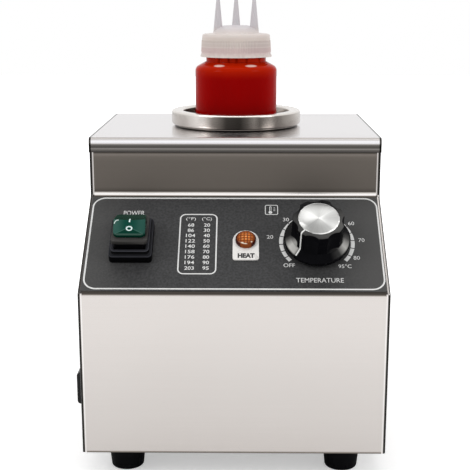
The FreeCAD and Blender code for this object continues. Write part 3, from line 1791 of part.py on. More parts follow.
def make_nozzle_cap():
    """The cap: a skirt, a raised dome and three hollow nozzles in a row."""
    body = new_body("nozzle_cap")
    foot = deck + D["cap_foot"]
    bead = foot + D["cap_bead_height"]
    ceiling = deck + D["neck_top"] + D["gasket_sheet"]
    wall = D["dome_wall"]
    crown = deck + D["cap_top"] + D["cap_crown_rise"]
    drawing = Drawing(body, "XZ").outline(
        (D["cap_bore"], foot),
        (D["cap_foot_radius"], foot),
        (D["cap_foot_radius"], bead),
        (D["cap_side_radius"], bead + D["cap_bead_slope"]),
        (D["cap_top_radius"], deck + D["cap_top"]),
        (D["cap_crown_radius"], crown),
        (D["dome_shoulder_radius"], deck + D["dome_shoulder"]),
        (D["dome_radius"], deck + D["dome_top"]),
        (ZERO, deck + D["dome_top"]),
        (ZERO, ceiling),
        (D["cap_bore"], ceiling),
    )
    drawing.spin()
    fillet(body, D["cap_round"], (0, D["cap_top_radius"], deck + D["cap_top"]))
    fillet(body, D["cap_round"], (0, D["dome_shoulder_radius"], deck + D["dome_shoulder"]))
    fillet(body, D["cap_round"] * 2, (0, D["dome_radius"], deck + D["dome_top"]))
    base = deck + D["nozzle_base"]
    length = D["nozzle_top"] - D["nozzle_base"]
    nozzles = Drawing(body, "XY", lift=base)
    bores = Drawing(body, "XY", lift=base + length)
    for side in (-1, 0, 1):
        nozzles.circle(D["nozzle_base_radius"], side * D["nozzle_pitch"])
        bores.circle(D["nozzle_bore"], side * D["nozzle_pitch"])
    nozzles.pad(length, taper=-taper_of(D["nozzle_base_radius"] - D["nozzle_tip_radius"], length))
    hollow = Drawing(body, "XZ").outline(
        (ZERO, ceiling),
        (D["dome_shoulder_radius"] - wall / 2, ceiling),
        (D["dome_shoulder_radius"] - wall, deck + D["dome_shoulder"] - wall / 2),
        (D["dome_radius"] - wall / 2, deck + D["dome_top"] - wall),
        (ZERO, deck + D["dome_top"] - wall),
    )
    hollow.groove()
    bores.pocket(length + wall, taper=taper_of(D["nozzle_base_bore"] - D["nozzle_bore"], length))
    place(body, ZERO, well_back)
    return body


def make_parts():
    """Make every node of the warmer, in the order in which it would be put together."""
    parts = [
        make_base_plate(),
        make_front_shell(),
        make_side_panel("left_side_panel", -1),
        make_side_panel("right_side_panel", 1),
        make_rear_panel(),
        make_top_cover(),
        make_rear_screws(),
        make_foot_screws(),
        make_foot_nuts(),
        make_control_label(),
        make_switch_boot(),
        make_switch_collar(),
        make_switch_case(),
        make_switch_pivot(),
        make_switch_rocker(),
        make_switch_terminals(),
        make_lamp_plate(),
        make_lamp_lens(),
        make_lamp_barrel(),
        make_lamp_nut(),
        make_lamp_pins(),
        make_thermostat_body(),
        make_thermostat_nut(),
        make_thermostat_terminals(),
        make_spindle(),
        make_knob_body(),
        make_knob_disc(),
        make_power_inlet(),
        make_inlet_pins(),
        make_well_pot(),
        make_well_ring(),
        make_heater_band(),
        make_heater_screws(),
        make_insulation_jacket(),
        make_thermostat_bulb(),
        make_bulb_strap(),
        make_capillary_tube(),
        make_thermal_cutout(),
        make_cutout_nuts(),
        make_terminal_block(),
        make_block_screws(),
        make_earth_stud(),
        make_bottle_shell(),
        make_sauce_fill(),
        make_cap_gasket(),
        make_nozzle_cap(),
    ]
    names = ("foot_front_left", "foot_front_right", "foot_rear_left", "foot_rear_right")
    for name, (x, y) in zip(names, foot_places()):
        parts.append(make_foot(name, x, y))
    return parts


def check(parts):
    """Stop if any object failed to build or any node has no sound shape."""
    document.recompute()
    for thing in document.Objects:
        if "Invalid" in thing.State or "Error" in thing.State:
            raise RuntimeError(f"{thing.Label}: {thing.State}")
    for part in parts:
        if part.Shape.isNull() or not part.Shape.isValid():
            raise RuntimeError(f"{part.Label}: no sound shape")


def export(parts):
    """Write each node to its own file."""
    os.makedirs("parts", exist_ok=True)
    for part in parts:
        part.Shape.exportStep(os.path.join("parts", f"{part.Label}.step"))


finished = make_parts()
check(finished)
export(finished)
print(f"{len(finished)} nodes written")
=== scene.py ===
"""Dresses the topping warmer, from its steel and printed panel to its squeeze bottle, and sets up the studio.

Everything is in metres, in the frame of the solids: X to the right, Y to the back, Z up, the table at zero.
"""

import json
import logging
import math
from collections.abc import Callable, Sequence
from dataclasses import dataclass, field
from enum import Enum
from typing import Protocol

import bpy
from mathutils import Matrix, Vector

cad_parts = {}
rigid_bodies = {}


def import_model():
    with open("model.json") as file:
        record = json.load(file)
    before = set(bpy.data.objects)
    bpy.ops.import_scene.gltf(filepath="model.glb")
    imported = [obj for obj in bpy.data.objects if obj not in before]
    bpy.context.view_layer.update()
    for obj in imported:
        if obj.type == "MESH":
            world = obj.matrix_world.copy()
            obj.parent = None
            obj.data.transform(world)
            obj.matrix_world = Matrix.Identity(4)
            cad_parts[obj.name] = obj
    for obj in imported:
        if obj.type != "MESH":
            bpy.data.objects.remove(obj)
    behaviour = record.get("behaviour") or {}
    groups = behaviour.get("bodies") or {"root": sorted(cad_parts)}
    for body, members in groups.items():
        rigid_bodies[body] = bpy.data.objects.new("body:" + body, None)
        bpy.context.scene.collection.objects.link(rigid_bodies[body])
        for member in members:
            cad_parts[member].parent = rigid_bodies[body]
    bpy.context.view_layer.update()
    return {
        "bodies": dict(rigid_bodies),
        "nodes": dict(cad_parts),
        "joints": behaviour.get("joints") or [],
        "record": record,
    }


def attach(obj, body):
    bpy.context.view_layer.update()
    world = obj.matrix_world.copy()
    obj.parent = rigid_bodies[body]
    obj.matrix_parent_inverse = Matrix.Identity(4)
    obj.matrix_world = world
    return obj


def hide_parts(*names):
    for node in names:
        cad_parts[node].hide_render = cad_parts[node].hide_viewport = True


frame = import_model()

log = logging.getLogger("warmer")
logging.basicConfig(level=logging.INFO, format="%(message)s")

MM = 0.001
CAP_RIBS = 132
Colour = tuple[float, float, float]
Steps = tuple[tuple[float, float], ...]
Zone = tuple[float, float, float, float]
Outline = tuple[float, float, float, float]
Pair = tuple[float, float]
NODES: dict[str, bpy.types.Object] = frame["nodes"]


class Body(Enum):
    """The rigid bodies that a piece can ride on."""

    CASE = "case"
    ROCKER = "rocker"
    KNOB = "knob"
    BOTTLE = "bottle"
    SEAL = "seal"
    CAP = "cap"


class Grain(Enum):
    """The way a brushed surface runs, as the stretch of its noise along X, Y and Z."""

    ALONG_X = (9.0, 2400.0, 2400.0)
    ALONG_Y = (2400.0, 9.0, 2400.0)
    ALONG_Z = (2400.0, 2400.0, 9.0)


@dataclass(frozen=True)
class CaseLayout:
    """Where the case's sheets lie, and where the switch, the knob and the lamp sit on the slope."""

    middle: float = 2.85 * MM
    front: float = -121.5 * MM
    fold: float = 140.0 * MM
    run: float = 75.0 * MM
    rise: float = 56.0 * MM
    well_back: float = 37.5 * MM
    switch: tuple[float, float] = (-74.6 * MM, 46.0 * MM)
    pivot: float = 14.6 * MM
    rocker_tilt: float = math.radians(10.0)
    knob: tuple[float, float] = (60.1 * MM, 47.0 * MM)
    lamp: tuple[float, float] = (8.3 * MM, 47.9 * MM)

    @property
    def slope(self) -> float:
        """The tilt of the panel in radians."""
        return math.atan2(self.rise, self.run)

    @property
    def rocker_slope(self) -> float:
        """The tilt of the rocker at rest, in radians."""
        return self.slope - self.rocker_tilt

    @property
    def rocker_pivot(self) -> Vector:
        """The middle of the rocker's pivot pin."""
        return self.panel(*self.switch, self.pivot).translation

    def panel(self, across: float = 0.0, up: float = 0.0, off: float = 0.0) -> Matrix:
        """The place and tilt of a point of the sloped panel.

        Args:
            across: Distance to the right of the middle, in metres.
            up: Distance up the slope from its lower fold.
            off: Height above the sheet's face.

        Returns:
            The matrix that lays a flat drawing on that point.
        """
        base = Matrix.Translation((self.middle, self.front, self.fold))
        return base @ Matrix.Rotation(self.slope, 4, "X") @ Matrix.Translation((across, up, off))

    def well(self, height: float = 0.0) -> Matrix:
        """The well's axis at a height above the table."""
        return Matrix.Translation((self.middle, self.well_back, height))


CASE = CaseLayout()


class Value:
    """A shader value or colour that is written with ordinary arithmetic."""

    def __init__(self, paint: "Paint", socket: bpy.types.NodeSocket) -> None:
        """Wrap an output socket of a paint's node tree."""
        self.paint = paint
        self.socket = socket

    def _math(self, operation: str, *others: "Value | float", flip: bool = False) -> "Value":
        """Add one Math node.

        Args:
            operation: Blender's name of the operation.
            others: The other operands.
            flip: Whether this value is the second operand.

        Returns:
            The result.
        """
        operands = [self, *others]
        if flip:
            operands.reverse()
        return self.paint.node("ShaderNodeMath", {"operation": operation}, dict(enumerate(operands)))

    def __add__(self, other: "Value | float") -> "Value":
        """Sum."""
        return self._math("ADD", other)

    def __sub__(self, other: "Value | float") -> "Value":
        """Difference."""
        return self._math("SUBTRACT", other)

    def __rsub__(self, other: float) -> "Value":
        """Difference from a number."""
        return self._math("SUBTRACT", other, flip=True)

    def __mul__(self, other: "Value | float") -> "Value":
        """Product."""
        return self._math("MULTIPLY", other)

    def __truediv__(self, other: "Value | float") -> "Value":
        """Quotient."""
        return self._math("DIVIDE", other)

    def __pow__(self, other: "Value | float") -> "Value":
        """Power."""
        return self._math("POWER", other)

    def __gt__(self, other: "Value | float") -> "Value":
        """One where this is the larger."""
        return self._math("GREATER_THAN", other)

    def __lt__(self, other: "Value | float") -> "Value":
        """One where this is the smaller."""
        return self._math("LESS_THAN", other)

    def __abs__(self) -> "Value":
        """Size without sign."""
        return self._math("ABSOLUTE")

    __radd__ = __add__
    __rmul__ = __mul__

    def sine(self) -> "Value":
        """Sine of this value in radians."""
        return self._math("SINE")

    def largest(self, other: "Value | float") -> "Value":
        """The larger of two."""
        return self._math("MAXIMUM", other)

    def smallest(self, other: "Value | float") -> "Value":
        """The smaller of two."""
        return self._math("MINIMUM", other)

    def angle(self, run: "Value") -> "Value":
        """The angle of this rise over a run."""
        return self._math("ARCTAN2", run)

    def ease(self, low: float, high: float) -> "Value":
        """Rise smoothly from nought at one value to one at another."""
        settings = {"interpolation_type": "SMOOTHSTEP"}
        return self.paint.node("ShaderNodeMapRange", settings, {0: self, 1: low, 2: high})

    def within(self, low: float, full: float, last: float, high: float) -> "Value":
        """Rise to one from the first value to the second, and fall from the third to the fourth."""
        return self.ease(low, full) * (1.0 - self.ease(last, high))


class Paint:
    """A material under construction: one Principled shader and the nodes that feed it."""

    def __init__(self, name: str) -> None:
        """Start an empty material.

        Args:
            name: The material's name.
        """
        self.material = bpy.data.materials.new(name)
        self.material.use_nodes = True
        self.tree = self.material.node_tree
        self.tree.nodes.clear()
        self.shader = self.tree.nodes.new("ShaderNodeBsdfPrincipled")
        output = self.tree.nodes.new("ShaderNodeOutputMaterial")
        self.tree.links.new(self.shader.outputs[0], output.inputs[0])

    def feed(self, socket: bpy.types.NodeSocket, given: "Value | float | Sequence[float]") -> None:
        """Link a value to a socket, or set a plain number or colour on it.

        Args:
            socket: The input to feed.
            given: What it gets.
        """
        if isinstance(given, Value):
            self.tree.links.new(given.socket, socket)
        elif isinstance(given, tuple) and socket.type == "RGBA":
            socket.default_value = (*given, 1.0)
        else:
            socket.default_value = given

    def node(
        self, kind: str, settings: dict | None = None, inputs: dict | None = None, out: int | str = 0
    ) -> Value:
        """Add a node.

        Args:
            kind: Blender's node type.
            settings: Attributes that are set first.
            inputs: Socket names or numbers with what they get.
            out: The output to return.

        Returns:
            That output.
        """
        made = self.tree.nodes.new(kind)
        for name, setting in (settings or {}).items():
            setattr(made, name, setting)
        for name, given in (inputs or {}).items():
            self.feed(made.inputs[name], given)
        return Value(self, made.outputs[out])

    def place(
        self, centre: Sequence[float] = (0, 0, 0), turn: float = 0.0, scale: Sequence[float] = (1, 1, 1)
    ) -> Value:
        """Object coordinates, moved to a centre, tilted about X and stretched.

        Args:
            centre: The new origin.
            turn: The tilt in radians.
            scale: The stretch along each axis, applied last.

        Returns:
            The coordinates.
        """
        raw = self.node("ShaderNodeTexCoord", out="Object")
        moved = self.node("ShaderNodeVectorMath", {"operation": "SUBTRACT"}, {0: raw, 1: tuple(centre)})
        turned = self.node("ShaderNodeMapping", {}, {0: moved, 2: (-turn, 0.0, 0.0)})
        return self.node("ShaderNodeVectorMath", {"operation": "MULTIPLY"}, {0: turned, 1: tuple(scale)})

    def millimetres(
        self, centre: Sequence[float] = (0, 0, 0), turn: float = 0.0
    ) -> tuple[Value, Value, Value]:
        """The three coordinates from a centre, in millimetres."""
        return self.split(self.place(centre, turn, (1000.0, 1000.0, 1000.0)))

    def split(self, vector: Value) -> tuple[Value, Value, Value]:
        """The three numbers of a vector.

        Args:
            vector: The vector.

        Returns:
            Its X, Y and Z.
        """
        parts = self.node("ShaderNodeSeparateXYZ", {}, {0: vector})
        outputs = parts.socket.node.outputs
        return Value(self, outputs[0]), Value(self, outputs[1]), Value(self, outputs[2])

    def noise(self, vector: Value, scale: float = 1.0, detail: float = 2.0) -> Value:
        """Fractal noise between about nought and one."""
        return self.node("ShaderNodeTexNoise", {}, {"Vector": vector, "Scale": scale, "Detail": detail})

    def cells(self, vector: Value, scale: float) -> Value:
        """Distance to the nearest of many scattered points."""
        return self.node("ShaderNodeTexVoronoi", {}, {"Vector": vector, "Scale": scale})

    def blend(self, factor: Value, low: "Colour | Value", high: "Colour | Value") -> Value:
        """Mix two colours.

        Args:
            factor: Nought for the first and one for the second.
            low: The first colour.
            high: The second colour.

        Returns:
            The mixed colour.
        """
        made = self.tree.nodes.new("ShaderNodeMix")
        made.data_type = "RGBA"
        self.feed(made.inputs[0], factor)
        self.feed(made.inputs[6], low)
        self.feed(made.inputs[7], high)
        return Value(self, made.outputs[2])

    def bands(self, value: Value, steps: Sequence[tuple[float, float]]) -> Value:
        """A level that follows a value from step to step.

        Args:
            value: The value to follow.
            steps: The value and the level at each step, in order.

        Returns:
            The level.
        """
        low, high = steps[0][0], steps[-1][0]
        made = self.tree.nodes.new("ShaderNodeValToRGB")
        elements = made.color_ramp.elements
        elements[0].color = (*[steps[0][1]] * 3, 1.0)
        elements[1].color = (*[steps[-1][1]] * 3, 1.0)
        for at, level in steps[1:-1]:
            elements.new((at - low) / (high - low)).color = (level, level, level, 1.0)
        self.feed(made.inputs[0], (value - low) / (high - low))
        return Value(self, made.outputs[0])

    def lit(self, level: Value, dark: Colour, pale: Colour) -> Value:
        """A level of painted light and shade as a colour, with one tint where it is dark and another where it
        is light.
        """
        tint = self.blend(level, dark, pale)
        return self.node("ShaderNodeVectorMath", {"operation": "SCALE"}, {0: tint, "Scale": level})

    def tone(self, factor: Value, colour: Colour, spread: float) -> Value:
        """Vary a colour from a little darker to a little lighter.

        Args:
            factor: Nought for the darker and one for the lighter.
            colour: The colour between them.
            spread: How far both lie from it, as a share.

        Returns:
            The varied colour.
        """
        darker = tuple(part * (1 - spread) for part in colour)
        lighter = tuple(min(1.0, part * (1 + spread)) for part in colour)
        return self.blend(factor, darker, lighter)

    def bump(self, height: Value, depth: float, strength: float = 1.0) -> Value:
        """A normal from a height map, with its depth in metres."""
        return self.node("ShaderNodeBump", {}, {"Height": height, "Distance": depth, "Strength": strength})

    def surface(self, **sockets: "Value | float | Sequence[float]") -> bpy.types.Material:
        """Feed the shader's sockets, named with underscores for spaces, and finish the material.

        Args:
            sockets: What each named socket gets.

        Returns:
            The material.
        """
        for name, given in sockets.items():
            self.feed(self.shader.inputs[name.replace("_", " ")], given)
        return self.material


class Finish(Protocol):
    """A finish that can build its material."""

    def make(self, name: str) -> bpy.types.Material:
        """Build the material.

        Args:
            name: The material's name.

        Returns:
            The material.
        """
        ...


@dataclass(frozen=True)
class BrushedSteel:
    """Stainless sheet with fine brush lines and faint handling marks."""

    colour: Colour = (0.69, 0.665, 0.65)
    grain: Grain = Grain.ALONG_X
    roughness: float = 0.2
    depth: float = 0.000008

    def make(self, name: str) -> bpy.types.Material:
        """Build the material.

        Args:
            name: The material's name.

        Returns:
            The material.
        """
        paint = Paint(name)
        lines = paint.noise(paint.place(scale=self.grain.value), 1.0, 2.0)
        cloud = paint.noise(paint.place(), 14.0, 3.0)
        colour = paint.tone(lines * 0.7 + cloud * 0.3, self.colour, 0.06)
        roughness = lines * 0.10 + cloud * 0.06 + (self.roughness - 0.08)
        return paint.surface(
            Base_Color=colour, Metallic=1.0, Roughness=roughness, Normal=paint.bump(lines, self.depth)
        )


@dataclass(frozen=True)
class FormedSteel:
    """Polished sheet with painted reflections: fine dark and light bands along each fold, and painted dark
    lines at its ends.

    Steps give a height in millimetres above the table and the painted brightness of the sheet there.
    """

    steps: Steps
    dark: Colour = (1.0, 0.87, 0.75)
    pale: Colour = (1.0, 0.97, 0.962)
    roughness: float = 0.16
    dull_above: float = 400.0
    ends: float = 400.0
    end_margin: float = 1.75
    skirt_top: float = 239.2

    def make(self, name: str) -> bpy.types.Material:
        """Build the material.

        Args:
            name: The material's name.

        Returns:
            The material.
        """
        paint = Paint(name)
        across, deep, height = paint.millimetres((CASE.middle, CASE.front + CASE.run, 0.0))
        lines = paint.noise(paint.place(scale=Grain.ALONG_X.value), 1.0, 2.0)
        cloud = paint.noise(paint.place(), 9.0, 3.0)
        aside = abs(across)
        plain = deep.ease(1.0, 2.0) * (1.0 - height.ease(self.skirt_top, self.skirt_top + 0.6))
        # Painted shade: a dark line along the sheet's side ends.
        beyond = (aside > self.ends + self.end_margin) * (height < self.skirt_top)
        end = aside.ease(self.ends, self.ends + 0.3) * (1.0 - beyond) * 0.93
        # Painted reflections: light and dark bands along each fold, by height.
        painted_fold_bands = paint.bands(height, self.steps) * (1.0 - plain) + plain * 0.55
        level = painted_fold_bands * (lines * 0.05 + cloud * 0.05 + 0.95) * (1.0 - end)
        dull = height.ease(self.dull_above, self.dull_above + 2.0)
        return paint.surface(
            Base_Color=paint.lit(level, self.dark, self.pale),
            Metallic=1.0,
            Roughness=lines * 0.08 + cloud * 0.05 + dull * 0.42 + (self.roughness - 0.06),
            Normal=paint.bump(lines, 0.000006),
        )


# Painted reflections and painted shade of the front sheet: height above the table in millimetres and level.
FRONT_PAINTED_BANDS = (
    (20.0, 0.10),
    (20.7, 0.16),
    (21.2, 0.72),
    (80.0, 0.735),
    (137.6, 0.75),
    (138.4, 0.80),
    (138.9, 0.26),
    (139.6, 0.06),
    (140.6, 0.05),
    (141.4, 0.07),
    (142.4, 0.05),
    (195.4, 0.05),
    (196.0, 0.07),
    (196.4, 0.90),
    (196.7, 1.0),
    (198.0, 1.0),
    (198.4, 0.20),
    (199.0, 0.085),
    (202.0, 0.14),
    (222.0, 0.148),
    (225.5, 0.165),
    (226.6, 0.20),
    (227.3, 0.245),
    (227.9, 0.20),
    (228.6, 0.08),
    (229.2, 0.06),
)

# Painted reflections and painted shade of the cover's lip: height above the table in millimetres and level.
COVER_PAINTED_BANDS = (
    (229.0, 0.05),
    (229.6, 0.07),
    (230.3, 0.12),
    (231.1, 0.16),
    (231.7, 0.30),
    (232.3, 0.115),
    (233.3, 0.085),
    (234.6, 0.16),
    (235.3, 0.42),
    (236.0, 0.93),
    (237.4, 0.95),
    (238.5, 0.62),
    (239.1, 0.34),
    (239.7, 0.21),
    (239.93, 0.58),
    (240.0, 0.715),
)


@dataclass(frozen=True)
class HemSteel:
    """A side sheet: brushed on its face, with a painted dark reflection where it turns and a painted light
    line along its front hem.

    Steps give a distance from the case's middle in millimetres and the painted brightness of the hem there.
    """

    # Painted reflections along the hem below the lower fold, between the folds, and above the upper crease.
    lower: Steps = (
        (106.6, 0.72),
        (107.2, 0.90),
        (107.8, 0.95),
        (108.2, 0.04),
        (110.0, 0.01),
    )
    middle: Steps = (
        (-110.0, 0.01),
        (-109.2, 0.02),
        (-108.6, 0.10),
        (-108.0, 0.04),
        (107.5, 0.04),
        (108.0, 0.55),
        (108.7, 0.62),
        (109.2, 0.04),
        (110.0, 0.02),
    )
    upper: Steps = (
        (106.6, 0.16),
        (106.8, 0.42),
        (107.0, 0.70),
        (107.6, 0.64),
        (108.0, 0.04),
        (110.0, 0.01),
    )
    side: float = 0.56
    roughness: float = 0.22
    dark: Colour = (1.0, 0.93, 0.88)
    pale: Colour = (1.0, 0.965, 0.945)

    def make(self, name: str) -> bpy.types.Material:
        """Build the material.

        Args:
            name: The material's name.

        Returns:
            The material.
        """
        paint = Paint(name)
        across, deep, height = paint.millimetres((CASE.middle, CASE.front, 0.0))
        _, _, off = paint.millimetres(CASE.panel().translation, CASE.slope)
        lines = paint.noise(paint.place(scale=Grain.ALONG_Y.value), 1.0, 2.0)
        cloud = paint.noise(paint.place(), 14.0, 3.0)
        fold, crease = CASE.fold / MM, (CASE.fold + CASE.rise) / MM
        below = 1.0 - height.ease(fold - 1.0, fold + 0.5)
        above = height.ease(crease, crease + 1.0)
        # Painted dark and light lines along the hems.
        low = paint.bands(abs(across), self.lower) * below
        middle = paint.bands(across, self.middle) * (1.0 - below) * (1.0 - above)
        high = paint.bands(abs(across), self.upper) * above
        depth = deep.smallest(off * -1.0).largest(deep - CASE.run / MM)
        face = depth.ease(1.5, 2.2)
        level = (low + middle + high) * (1.0 - face) + face * self.side
        level = level * (lines * 0.06 + cloud * 0.08 + 0.93)
        return paint.surface(
            Base_Color=paint.lit(level, self.dark, self.pale),
            Metallic=1.0,
            Roughness=lines * 0.10 + cloud * 0.06 + (self.roughness - 0.08),
            Normal=paint.bump(lines, 0.000008),
        )


@dataclass(frozen=True)
class TurnedSteel:
    """Steel turned on a lathe, with fine rings, and with painted reflections as soft light and dark fans
    round an upright axis.

    Steps give a turn in degrees from the front and the painted brightness of the steel there.
    """

    steps: Steps = (
        (-180.0, 0.50),
        (-120.0, 0.38),
        (-77.0, 0.62),
        (-52.0, 0.54),
        (-36.0, 0.76),
        (-28.0, 0.62),
        (-20.0, 0.24),
        (-8.0, 0.045),
        (4.0, 0.03),
        (10.0, 0.09),
        (16.0, 0.22),
        (21.0, 0.11),
        (31.0, 0.28),
        (37.0, 0.17),
        (55.0, 0.34),
        (77.0, 0.62),
        (130.0, 0.38),
        (180.0, 0.50),
    )
    # Painted light: the level of the top face above the crown.
    top: float = 0.74
    crown: float = 251.3
    # Painted shadow: the heights of the dark line at the foot.
    foot: tuple[float, float, float] = (239.9, 240.7, 241.5)
    shade: float = 1.0
    roughness: float = 0.22
    pitch: float = 0.35
    dark: Colour = (1.0, 0.88, 0.78)
    pale: Colour = (1.0, 0.975, 0.94)

    def make(self, name: str) -> bpy.types.Material:
        """Build the material.

        Args:
            name: The material's name.

        Returns:
            The material.
        """
        paint = Paint(name)
        x, y, z = paint.millimetres(CASE.well().translation)
        radius = (x * x + y * y) ** 0.5
        rings = ((radius + z) * (math.tau / self.pitch)).sine() * 0.5 + 0.5
        cloud = paint.noise(paint.place(), 30.0, 3.0)
        # Painted reflections: light and dark fans by turn round the axis.
        fans = paint.bands(x.angle(y * -1.0) * math.degrees(1.0), self.steps)
        # The top face painted lighter.
        flat = z.ease(self.crown, self.crown + 1.0)
        # A painted shadow line at the foot, under the ring.
        foot = (z > self.foot[0]) * (1.0 - z.ease(*self.foot[1:])) * 0.9
        level = (fans * (1.0 - flat) + flat * self.top) * (rings * 0.04 + cloud * 0.1 + 0.93) * self.shade
        level = level * (1.0 - foot)
        return paint.surface(
            Base_Color=paint.lit(level, self.dark, self.pale),
            Metallic=1.0,
            Roughness=rings * 0.06 + cloud * 0.1 + (self.roughness - 0.08),
            Normal=paint.bump(rings, 0.000006),
        )


@dataclass(frozen=True)
class PlatedSteel:
    """Bright plated steel for nuts, pins and screws."""

    colour: Colour = (0.72, 0.71, 0.68)
    roughness: float = 0.24

    def make(self, name: str) -> bpy.types.Material:
        """Build the material.

        Args:
            name: The material's name.

        Returns:
            The material.
        """
        paint = Paint(name)
        cloud = paint.noise(paint.place(), 420.0, 3.0)
        return paint.surface(
            Base_Color=paint.tone(cloud, self.colour, 0.12),
            Metallic=1.0,
            Roughness=cloud * 0.14 + (self.roughness - 0.07),
            Normal=paint.bump(cloud, 0.00001),
        )


@dataclass(frozen=True)
class LabelFilm:
    """The dark printed film, with a fine leathery grain, painted a little lighter towards its ends as painted
    light.
    """

    colour: Colour = (0.040, 0.040, 0.041)
    # The lighter tint of the painted light towards the ends.
    pale: Colour = (0.075, 0.074, 0.072)
    grain: float = 1400.0

    def make(self, name: str) -> bpy.types.Material:
        """Build the material.

        Args:
            name: The material's name.

        Returns:
            The material.
        """
        paint = Paint(name)
        across, _, _ = paint.millimetres((CASE.middle, 0.0, 0.0))
        grain = paint.cells(paint.place(), self.grain)
        speckle = paint.noise(paint.place(), 620.0, 3.0)
        cloud = paint.noise(paint.place(), 12.0, 2.0)
        colour = paint.tone(speckle.ease(0.3, 0.7) * 0.7 + cloud * 0.3, self.colour, 0.36)
        # Painted light: the film is lighter towards its ends.
        ends = across.ease(60.0, 104.0) * 1.5 + (across * -1.0).ease(66.0, 106.0) * 1.1
        return paint.surface(
            Base_Color=paint.blend(ends * 0.55, colour, self.pale),
            Roughness=grain * 0.15 + 0.45,
            Normal=paint.bump(grain, 0.00005, 0.7),
            Specular_IOR_Level=0.18,
        )


@dataclass(frozen=True)
class WhiteInk:
    """Screen-printed ink, a little uneven."""

    colour: Colour = (0.76, 0.76, 0.75)

    def make(self, name: str) -> bpy.types.Material:
        """Build the material.

        Args:
            name: The material's name.

        Returns:
            The material.
        """
        paint = Paint(name)
        cloud = paint.noise(paint.place(), 700.0, 2.0)
        return paint.surface(Base_Color=paint.tone(cloud, self.colour, 0.08), Roughness=cloud * 0.1 + 0.4)


@dataclass(frozen=True)
class Plastic:
    """Moulded plastic or rubber, with its own gloss and grain."""

    colour: Colour = (0.03, 0.03, 0.03)
    roughness: float = 0.4
    shine: float = 0.3
    grain: float = 900.0
    depth: float = 0.00002
    spread: float = 0.12

    def make(self, name: str) -> bpy.types.Material:
        """Build the material.

        Args:
            name: The material's name.

        Returns:
            The material.
        """
        paint = Paint(name)
        grain = paint.noise(paint.place(), self.grain, 2.0)
        cloud = paint.noise(paint.place(), 60.0, 3.0)
        return paint.surface(
            Base_Color=paint.tone(cloud, self.colour, self.spread),
            Roughness=cloud * 0.12 + (self.roughness - 0.06),
            Specular_IOR_Level=self.shine,
            Normal=paint.bump(grain, self.depth, 0.6),
        )


@dataclass(frozen=True)
class BootRubber:
    """Black rubber of the boot, with painted highlights along the edges of its steps."""

    # Height above the panel in millimetres and level; the lighter levels are painted highlights on the
    # ledges.
    steps: Steps = (
        (0.4, 0.003),
        (6.3, 0.003),
        (6.9, 0.050),
        (7.2, 0.016),
        (7.7, 0.0015),
        (10.3, 0.002),
        (10.8, 0.060),
        (11.2, 0.022),
    )
    dark: Colour = (0.92, 0.94, 1.12)
    pale: Colour = (1.0, 0.98, 0.95)

    def make(self, name: str) -> bpy.types.Material:
        """Build the material.

        Args:
            name: The material's name.

        Returns:
            The material.
        """
        paint = Paint(name)
        _, _, off = paint.millimetres(CASE.panel().translation, CASE.slope)
        cloud = paint.noise(paint.place(), 90.0, 3.0)
        # Painted highlights along the ledges of the boot's steps.
        level = paint.bands(off, self.steps) * (cloud * 0.5 + 0.75)
        return paint.surface(
            Base_Color=paint.lit(level, self.dark, self.pale),
            Roughness=cloud * 0.1 + 0.38,
            Specular_IOR_Level=0.04,
            Normal=paint.bump(paint.noise(paint.place(), 1100.0, 2.0), 0.00002, 0.6),
        )


@dataclass(frozen=True)
class FrameRubber:
    """Grey frame of the rocker, with a painted highlight along its edge, and the black skirt below it."""

    frame: Colour = (0.042, 0.040, 0.038)
    # The colour of the painted highlight along the frame's edge.
    edge: Colour = (0.08, 0.077, 0.074)
    edge_highlight_zone: Zone = (1.7, 2.1, 2.2, 2.4)
    skirt: Colour = (0.003, 0.003, 0.004)

    def make(self, name: str) -> bpy.types.Material:
        """Build the material.

        Args:
            name: The material's name.

        Returns:
            The material.
        """
        paint = Paint(name)
        _, _, high = paint.millimetres(CASE.rocker_pivot, CASE.rocker_slope)
        cloud = paint.noise(paint.place(), 120.0, 3.0)
        # A painted highlight along the frame's edge.
        edge = high.within(*self.edge_highlight_zone) * 0.5
        frame = paint.blend(edge, paint.tone(cloud, self.frame, 0.15), self.edge)
        return paint.surface(
            Base_Color=paint.blend(high.ease(-0.7, -0.45), self.skirt, frame),
            Roughness=cloud * 0.1 + 0.36,
            Specular_IOR_Level=0.06,
        )


